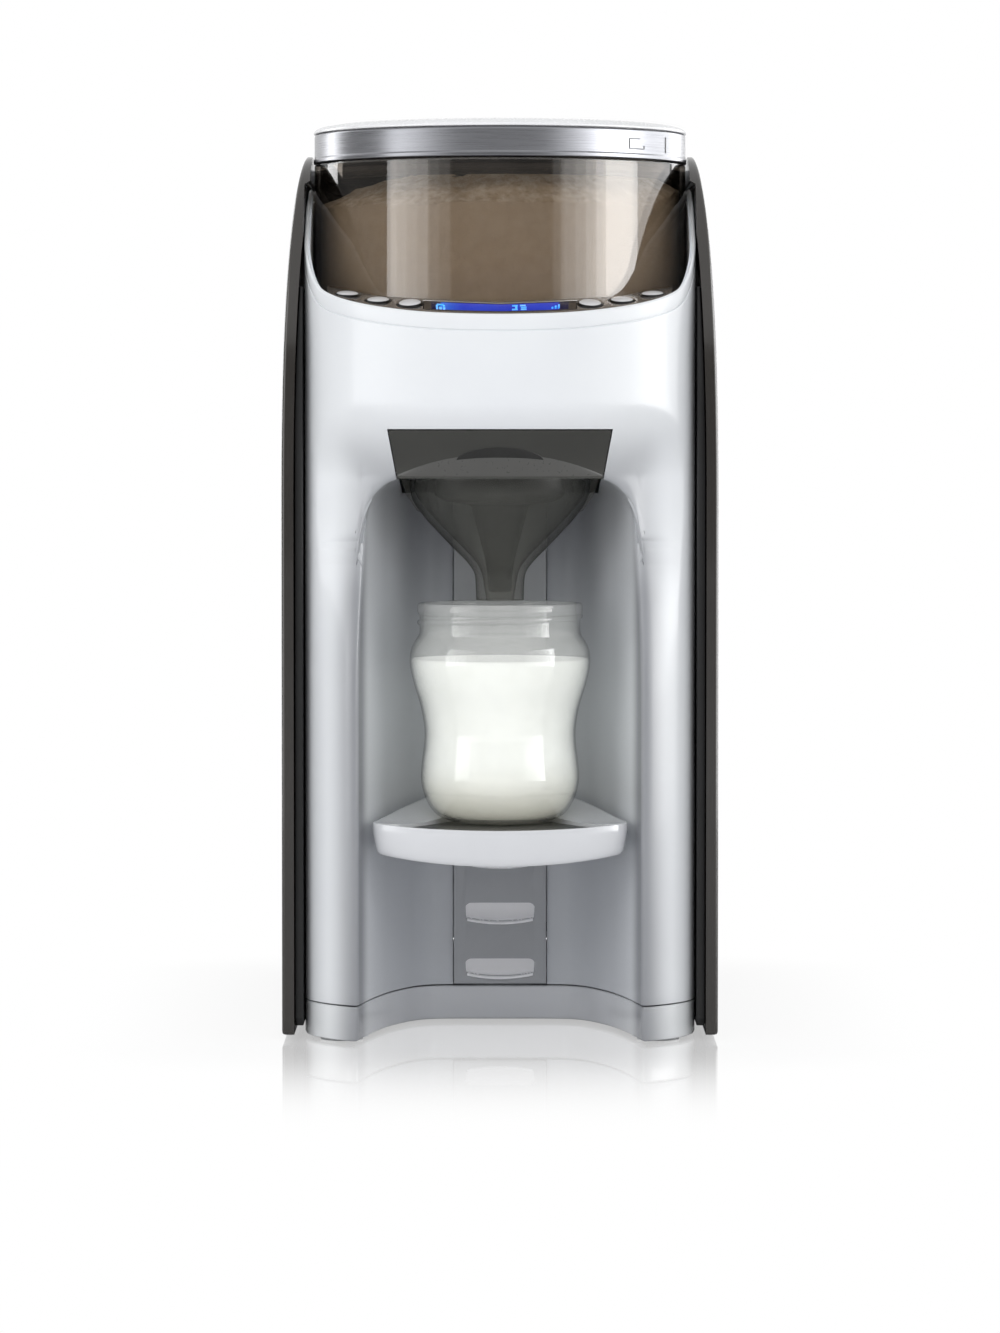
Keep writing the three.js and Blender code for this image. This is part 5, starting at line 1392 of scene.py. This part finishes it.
def made_funnel_box():
    """The box as one closed skin: rows from the outside bottom up, over the rim and down the inside."""
    low, high, back = BAY_TOP, FUNNEL_HIGH.z, FUNNEL_HIGH.y

    def ring(z, inset):
        half = funnel_half(z) - inset
        xs = np.linspace(half, -half, 65)
        front = [(x, float(nose_y(x, z)) + inset, z) for x in xs]
        sides = [(-half, y, z) for y in np.linspace(float(nose_y(half, z)) + inset, back - inset, 14)[1:]]
        behind = [(x, back - inset, z) for x in np.linspace(-half, half, 20)[1:-1]]
        other = [(half, y, z) for y in np.linspace(back - inset, float(nose_y(half, z)) + inset, 14)[:-1]]
        return [*front, *sides, *behind, *other]

    rows = [ring(low, 0.4), ring(low + 0.15, 0.12), ring(low + 0.5, 0)]
    rows += [ring(z, 0) for z in np.linspace(low + 2, high - 0.6, 14)]
    rows += [ring(high - 0.15, 0.12), ring(high, 0.4), ring(high, BOX_WALL - 0.4), ring(high - 0.4, BOX_WALL)]
    rows += [ring(z, BOX_WALL) for z in np.linspace(high - 3, low + BOX_WALL, 6)]
    return skin("funnel_box_shell", rows)


def made_funnel():
    top = BAY_TOP + BOX_WALL
    outer = [
        (9.05, FUNNEL_LOW.z), (9.25, 172), (9.6, 176.5), (12.5, 180.5), (19, 187), (28, 196.5),
        (33.2, 203.5), (34.5, 209), (34.5, top)
    ]
    inner = [
        (32.5, top + 1), (32.5, 208), (31.2, 204.6), (26, 198), (17.2, 189), (10.6, 182.4), (7.2, 177.6),
        (6.3, 173), (5.06, FUNNEL_LOW.z - 1)
    ]
    cone = lathe("cone", [(0, FUNNEL_LOW.z), *rounded(outer, 3, 3), (0, top)], 0, POUR_Y, 96, closed=False)
    bore = lathe(
        "bore", [(0, FUNNEL_LOW.z - 1), *rounded(inner[::-1], 3, 3), (0, top + 1)], 0, POUR_Y, 96,
        closed=False
    )
    fins = []
    for side in (-1, 1):
        outline = [(38.2, 213), (29, 213), (29.5, 199), (31.6, 200), (35.4, 205.5)]
        rows = [[(side * x, POUR_Y + y, z) for x, z in outline] for y in (-1.2, 1.2)]
        fins.append(skin("fin", rows))
    funnel = made_funnel_box()
    combined(funnel, "UNION", cone, *fins)
    combined(funnel, "DIFFERENCE", bore)
    funnel.data.materials.clear()
    funnel.data.materials.append(funnel_dark)
    funnel.name = "funnel_piece"
    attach(funnel, "funnel")
    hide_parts("funnel")


made_funnel()


def front_plate(name, low_line, high_line, half, proud, material, steps=60):
    """A thin plate on the front of the funnel's box between two lines across it."""
    rows = []
    for x in np.linspace(-half, half, steps):
        z0, z1 = low_line(x), max(high_line(x), low_line(x) + 0.05)
        section = []
        for z, out in (
            (z0, -0.2), (z1, -0.2), (z1, proud * 0.4), (z1 - 0.2, proud), (z0 + 0.2, proud),
            (z0, proud * 0.4)
        ):
            z = min(max(z, z0), z1)
            section.append((x, float(nose_y(x, z)) - out, z))
        rows.append(section)
    plate = skin(name, rows, material)
    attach(plate, "funnel")


front_plate("funnel_arch", lambda x: BAY_TOP + 0.9, lambda x: relief(x)[0], 38.4, 0.12, funnel_light)
front_plate("funnel_bump", lambda x: 219.2, lambda x: max(relief(x)[1], 219.3), 16.4, 0.3, funnel_core)


def made_funnel_core():
    """Bell and stem inside the cone."""
    top = BAY_TOP + BOX_WALL
    bell = [
        (0, top - 0.5), (23.5, top - 0.6), (24.6, 209.5), (25, 206), (21, 203.6), (14, 202.8), (11, 202.2),
        (8.6, 193), (5.4, 181), (4.7, 176), (4.4, 169), (0, 169)
    ]
    core = lathe("funnel_stem", rounded(bell, 1.4, 3), 0, POUR_Y, 72, funnel_core, closed=False)
    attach(core, "funnel")


made_funnel_core()


# Slot strip: grey moulding set in the bay's back wall, with three slots that hold the tray at three heights.
# Each slot is a shallow cup, painted lighter and faintly glowing as painted light on its floor, with a bowed
# lip that stands out under it.
SLOT_HEIGHTS = [(18.4, 25.0), (39.8, 46.8), (61.5, 68.5)]
SLOT_HALF, SLOT_BOW, CUP_WALL = 13.7, 1.5, 1.2
strip_grey = plastic("strip_grey", "adafb3", "a6a8ac", 0.38)
cup_painted_light = plastic("cup_painted_light", "f4f4f6", "f0f0f2", 0.4)
# painted light: the cups glow faintly and are lighter than the strip, for the light on the slots' floors
cup_painted_light.node_tree.nodes["Principled BSDF"].inputs["Emission Color"].default_value = rgb("e6e7ea")
cup_painted_light.node_tree.nodes["Principled BSDF"].inputs["Emission Strength"].default_value = 0.08


def slot_outline(low, high, grow=0.0, steps=24):
    """Slot seen from the front: flat top, round ends and a bowed lower edge."""
    half, corner = SLOT_HALF + grow, 2.6 + grow
    points = [
        (half - corner * (1 - math.cos(a)), high + grow - corner * (1 - math.sin(a)))
        for a in np.linspace(0.4, math.pi / 2, 6)
    ]
    points += [(-x, z) for x, z in points[::-1]]
    ends = low - grow + 1.2
    for x in np.linspace(-half + 0.5, half - 0.5, steps):
        points.append((x, ends - SLOT_BOW * (1 - (x / half) ** 2)))
    return points


def made_slot_strip():
    front, back = STRIP_LOW.y, FRONT + 98.2
    half = STRIP_HIGH.x
    strip = block("slot_strip", (-half, front, STRIP_LOW.z), (half, back, STRIP_HIGH.z), strip_grey)
    cups = []
    for low, high in SLOT_HEIGHTS:
        hole = skin("hole", [[(x, y, z) for x, z in slot_outline(low, high)] for y in (front - 1, back + 1)])
        combined(strip, "DIFFERENCE", hole)
        outside = [[(x, y, z) for x, z in slot_outline(low, high, CUP_WALL)] for y in (back, STRIP_HIGH.y)]
        inside = [
            [(x, y, z) for x, z in slot_outline(low, high, -0.02)]
            for y in (front - 2, STRIP_HIGH.y - CUP_WALL)
        ]
        cup = skin("cup", outside)
        collar = skin(
            "collar",
            [[(x, y, z) for x, z in slot_outline(low, high, -0.02)] for y in (front - 0.25, back + 0.2)]
        )
        combined(cup, "UNION", collar)
        lip_rows = []
        for x in np.linspace(-SLOT_HALF + 0.9, SLOT_HALF - 0.9, 30):
            z = low + 1.2 - SLOT_BOW * (1 - (x / SLOT_HALF) ** 2)
            reach = 0.3 + 2.0 * math.sqrt(max(0.0, 1 - (x / SLOT_HALF) ** 2))
            lip_rows.append([
                (x, front + 0.4, z), (x, front + 0.4, z - 1.1), (x, front - reach * 0.6, z - 1.1),
                (x, front - reach, z - 0.75), (x, front - reach, z - 0.3), (x, front - reach * 0.7, z)
            ])
        combined(cup, "UNION", skin("lip", lip_rows))
        combined(cup, "DIFFERENCE", skin("hollow", inside))
        cups.append(cup)
    bevelled(strip, 0.35, 2)
    first = cups[0]
    work = bmesh.new()
    for cup in cups:
        work.from_mesh(cup.data)
    work.to_mesh(first.data)
    work.free()
    for cup in cups[1:]:
        bpy.data.objects.remove(cup)
    first.name = "slot_cups"
    first.data.materials.clear()
    first.data.materials.append(cup_painted_light)
    first.data.shade_smooth()
    first.data.set_sharp_from_angle(angle=math.radians(35))
    for obj in (strip, first):
        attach(obj, "housing")
    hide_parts("slot_panel")


made_slot_strip()


# Bottle tray: white frame that narrows towards the bay's back wall and rises slightly there, with a tongue
# for the slots behind. A glossy dark grey mat lies in its top, where the bottle stands.
TRAY_HIGH = corners("tray_frame")[1]
TRAY_PLAN = [
    (0, 10.4), (14, 10.9), (27, 12.5), (37, 15), (43.4, 18.2), (47, 22),
    (48, 27), (46.6, 37), (44.4, 48), (41.2, 60),
    (37.4, 71.5), (33, 81), (29.4, 88), (27.6, 94.4),
]
TRAY_TOP, MAT_DEPTH, TRAY_RISE = 81.0, 1.6, 6.5
tray_white = plastic("tray_white", "dfe1e5", "d8dade", 0.2, coat=0.3)
mat_grey = plastic("mat_grey", "202124", "1b1c1f", 0.3, spread=0.02)
mat_grey.node_tree.nodes["Principled BSDF"].inputs["Specular IOR Level"].default_value = 0.25


def tray_outline():
    """Closed plan of the tray, front middle first, with the front corners rounded."""
    half = smooth_path([(x, FRONT + d) for x, d in TRAY_PLAN], 70)
    right = [tuple(p) for p in half]
    return np.array([*right, *[(-x, y) for x, y in right[::-1] if x > 0.01]])


def mat_outline(grow=0.0):
    """Plan of the mat: it follows the tray's front edge and ends in a round hump behind the bottle."""
    edge = smooth_path([(x, FRONT + d) for x, d in TRAY_PLAN[:6]], 40)
    front = [(x * (1 - (0.9 - grow) / 48), y + (0.9 - grow) * (1 - 0.3 * x / 47)) for x, y in edge]
    end_x, end_y = front[-1]
    rear = [(end_x * u, end_y + (61 + grow) * (1 - u * u) ** 2.5) for u in np.linspace(1, 0, 40)[1:]]
    right = [*front, *rear]
    return np.array([*right, *[(-x, y) for x, y in right[::-1] if x > 0.01]])


def tray_top(x, y):
    """Height of the frame's top: the front lip bows up to its ends, and the wings rise towards the back."""
    back = max(0.0, (y - FRONT - 27.0) / 61.0)
    return TRAY_TOP + TRAY_RISE * back * back + 2.2 * (x / 48.0) ** 2


def made_tray_frame():
    outline = tray_outline()
    centre = np.array([0.0, FRONT + 52.0])
    low = TRAY_TOP - 14.0
    profile = [
        (low, 4.2), (low + 0.05, 3.2), (low + 0.5, 2.3), (low + 1.6, 1.6), (low + 4, 1.0), (low + 8, 0.45),
        (low + 11, 0.1)
    ]
    rows = []
    for z, inset in profile:
        lift = 3.4 * (TRAY_TOP - z) / 14.0
        rows.append([
            (x, y, z + lift * (x / 48.0) ** 2 + 1.2 * (x / 48.0) ** 2)
            for x, y in offset_ring(outline, inset)
        ])
    rows = [np.array(row) for row in rows]
    for inset, drop in ((0.0, 0.45), (0.12, 0.15), (0.45, 0.0)):
        ring = offset_ring(outline, inset)
        rows.append(np.array([(x, y, tray_top(x, y) - drop) for x, y in ring]))
    last = offset_ring(outline, 0.45)
    for share in np.linspace(1, 0.02, 30)[1:]:
        ring = centre + (last - centre) * share
        rows.append(np.array([(x, y, tray_top(x, y)) for x, y in ring]))
    frame_piece = skin("tray_frame_piece", rows)
    wall = offset_ring(outline, 2.6)
    under = skin("under", [np.column_stack([wall, np.full(len(wall), z)]) for z in (low - 1, TRAY_TOP - 3.6)])
    seat = mat_outline(0.25)
    recess = skin(
        "recess",
        [np.column_stack([seat, np.full(len(seat), z)]) for z in (TRAY_TOP - MAT_DEPTH, TRAY_TOP + 12)]
    )
    combined(frame_piece, "DIFFERENCE", under, recess)
    back = FRONT + 94.4
    web = block("web", (-11.5, back - 2.2, 62.4), (11.5, back - 0.01, TRAY_TOP - 1))
    tongue = block("tongue", (-11.5, back - 2.2, 62.4), (11.5, TRAY_HIGH.y, 67.2))
    combined(web, "UNION", tongue)
    bevelled(web, 0.6, 2)
    combined(frame_piece, "UNION", web)
    frame_piece.data.materials.clear()
    frame_piece.data.materials.append(tray_white)
    plan = mat_outline()
    heights = [
        (TRAY_TOP - MAT_DEPTH + 0.02, 0), (TRAY_TOP - 0.4, 0), (TRAY_TOP - 0.15, 0.12),
        (TRAY_TOP - 0.08, 0.4)
    ]
    mat = skin("tray_mat_piece", levels(plan, heights), mat_grey)
    for piece, node, slot in ((frame_piece, "tray_frame", "body_white"), (mat, "tray_mat", "mat_grey")):
        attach(piece, "tray")
        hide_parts(node)


made_tray_frame()


# Bottle: clear wide-necked jar, blow-moulded with a waist, a round shoulder and a screw thread under its rim.
# Milk fills it to the shoulder.
BOTTLE_LOW, BOTTLE_HIGH = corners("bottle")
MILK_TOP = 143.7
BOTTLE_SIDE = [
    (17.7, 81.2), (24, 83.9), (28.0, 89.2), (30.1, 96.5), (29.9, 103.5),
    (29.0, 111), (28.9, 117), (30.2, 125),
    (32.6, 133), (34.2, 139.5), (34.5, 143.5), (33.9, 147.5), (32.4, 150.6), (30.9, 152.8), (30.7, 154.6),
]
bottle_clear = clear_plastic(
    "bottle_clear", "f6f7f6", gloss=0.03, base=0.022, film=0.06, haze="ffffff", body=0.17, rim="45474a"
)


def milk_material():
    g = Graph("milk")
    _, _, z = g.axes()
    cloud = g.noise(45, 3)
    # painted shade: the milk turns warm grey towards its bottom, by the mat
    low = g.ramp(z * (1 / MM), 82, 108)
    shade = g.mix(low, rgb("d9d6c8"), rgb("fdfdfa"))
    g.set("Base Color", g.mix(g.ramp(cloud, 0.3, 0.7) * 0.25, shade, rgb("f7f6ef")))
    # painted light: the milk glows faintly in its own colour
    g.set("Emission Color", shade).set("Emission Strength", 0.47).set("Specular IOR Level", 0.2)
    g.set("Roughness", g.ramp(cloud, 0.2, 0.8, 0.28, 0.34)).set("Subsurface Weight", 0.15)
    g.set("Subsurface Radius", (0.004, 0.004, 0.0035))
    return g.material


def swept_thread(radius, middle, pitch, turns, size, steps=150):
    """A rounded thread once round the neck, thinning out at both ends."""
    rows = []
    for i in range(steps + 1):
        t = i / steps
        a = (t - 0.5) * 2 * math.pi * turns
        grow = min(1.0, 12 * t, 12 * (1 - t)) * size
        z = middle + pitch * a / (2 * math.pi)
        ring = []
        for k in range(10):
            b = 2 * math.pi * k / 10
            r = radius + 0.05 + grow * max(-0.2, math.cos(b))
            ring.append((r * math.sin(a), POUR_Y - r * math.cos(a), z + grow * 1.15 * math.sin(b)))
        rows.append(ring)
    return skin("thread", rows)


def made_bottle():
    side = [tuple(p) for p in smooth_path(BOTTLE_SIDE, 70)]
    low, high, wall = BOTTLE_LOW.z, BOTTLE_HIGH.z, 0.6
    neck = [
        (30.7, high - 4.8), (31.3, high - 4.3), (31.6, high - 3.2), (31.5, high - 1.0), (31.0, high - 0.15),
        (30.4, high)
    ]
    lip = [(29.6, high - 0.1), (29.2, high - 0.6), (29.0, high - 2)]
    inside = [(r - wall, z + (0.9 if z < 92 else 0.0)) for r, z in side[::-1] if r > 19]
    profile = [
        (0, low + 1.4), (13, low + 1.2), (16.5, low + 0.2), *side, *neck, *lip, *inside, (17, low + 2.6),
        (0, low + 2.9)
    ]
    glass = lathe("bottle_piece", profile, 0, POUR_Y, 128, closed=False)
    combined(glass, "UNION", swept_thread(30.6, 158.7, 5.2, 1.15, 1.0))
    glass.data.materials.clear()
    glass.data.materials.append(bottle_clear)
    inner = [
        (r - wall - 0.1, z + (1.05 if z < 92 else 0.0)) for r, z in side if r > 19 and z < MILK_TOP - 0.8
    ]
    top = [(33.7, MILK_TOP - 0.5), (33.5, MILK_TOP - 0.1), (32.8, MILK_TOP - 0.25), (0, MILK_TOP - 0.3)]
    milk = lathe(
        "milk", [(0, low + 3.2), (17, low + 2.9), *inner, *top], 0, POUR_Y, 112, milk_material(),
        closed=False
    )
    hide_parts("bottle")
    for piece in (glass, milk):
        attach(piece, "bottle")


made_bottle()


# Water tank at the back: smoked clear tank with rounded corners and raised level lines, dark hinged lid with
# a finger dimple. The black power inlet sits low in the rear casing.
tank_smoked = clear_plastic(
    "tank_smoked", "c9cdd0", gloss=0.05, base=0.05, film=0.04, haze="8d9296", body=0.1
)
lid_dark = plastic("tank_lid_dark", "2f2d2c", "292726", 0.3, coat=0.3)
inlet_black = plastic("inlet_black", "161617", "111112", 0.5, grain=1600)
TANK_LOW, TANK_HIGH = corners("water_tank")
dressed("water_tank", tank_smoked, 0.5, 2, body="tank")
dressed("tank_lid", lid_dark, 0.5, 2, body="tank_lid")
dressed("power_inlet", inlet_black, 0.3, 2)


def made_level_lines():
    """Level lines on the tank's outer face, every fifth one longer."""
    pieces = bmesh.new()
    for i in range(21):
        half = 9.0 if i % 5 == 0 else 5.0
        z = TANK_LOW.z + 26 + i * 9.2
        low, high = (38.0 - half, TANK_HIGH.y - 0.1, z - 0.4), (38.0 + half, TANK_HIGH.y + 0.35, z + 0.4)
        bar = bevelled(block("bar", low, high), 0.2, 2)
        pieces.from_mesh(bar.data)
        bpy.data.objects.remove(bar)
    mesh = bpy.data.meshes.new("tank_level_lines")
    pieces.to_mesh(mesh)
    pieces.free()
    mesh.materials.append(mark_grey)
    obj = bpy.data.objects.new("tank_level_lines", mesh)
    bpy.context.collection.objects.link(obj)
    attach(obj, "tank")


made_level_lines()


# What stays inside the casing keeps its own solid: boards, drive, pump, heater, hoses and fittings
grey_plastic = plastic("grey_plastic", "8f9297", "85888e", 0.42)
board_green = plastic("board_green", "1d5a35", "174a2b", 0.35, grain=2400)
hose_silicone = plastic("hose_silicone", "dfe3e5", "d3d8db", 0.3)
seal_rubber = plastic("seal_rubber", "2b2b2d", "242426", 0.6)
plated_steel = plastic("plated_steel", "c2c4c6", "b3b5b8", 0.3, grain=2600)
plated_steel.node_tree.nodes["Principled BSDF"].inputs["Metallic"].default_value = 0.9
finish_node(board_green, "main_board", "control_board")
finish_node(plated_steel, "gear_motor", "heater_block")
finish_node(gear_ivory, "drive_gear", "drive_pinion")
finish_node(hose_silicone, "hose_inlet", "hose_pump", "hose_outlet")
finish_node(seal_rubber, "lid_seal", "tank_valve")
finish_node(
    grey_plastic, "drive_bracket", "water_pump", "water_nozzle", "tank_socket", "powder_chute",
    "outlet_cover",
    "funnel_rail_left", "funnel_rail_right", "display_module",
)
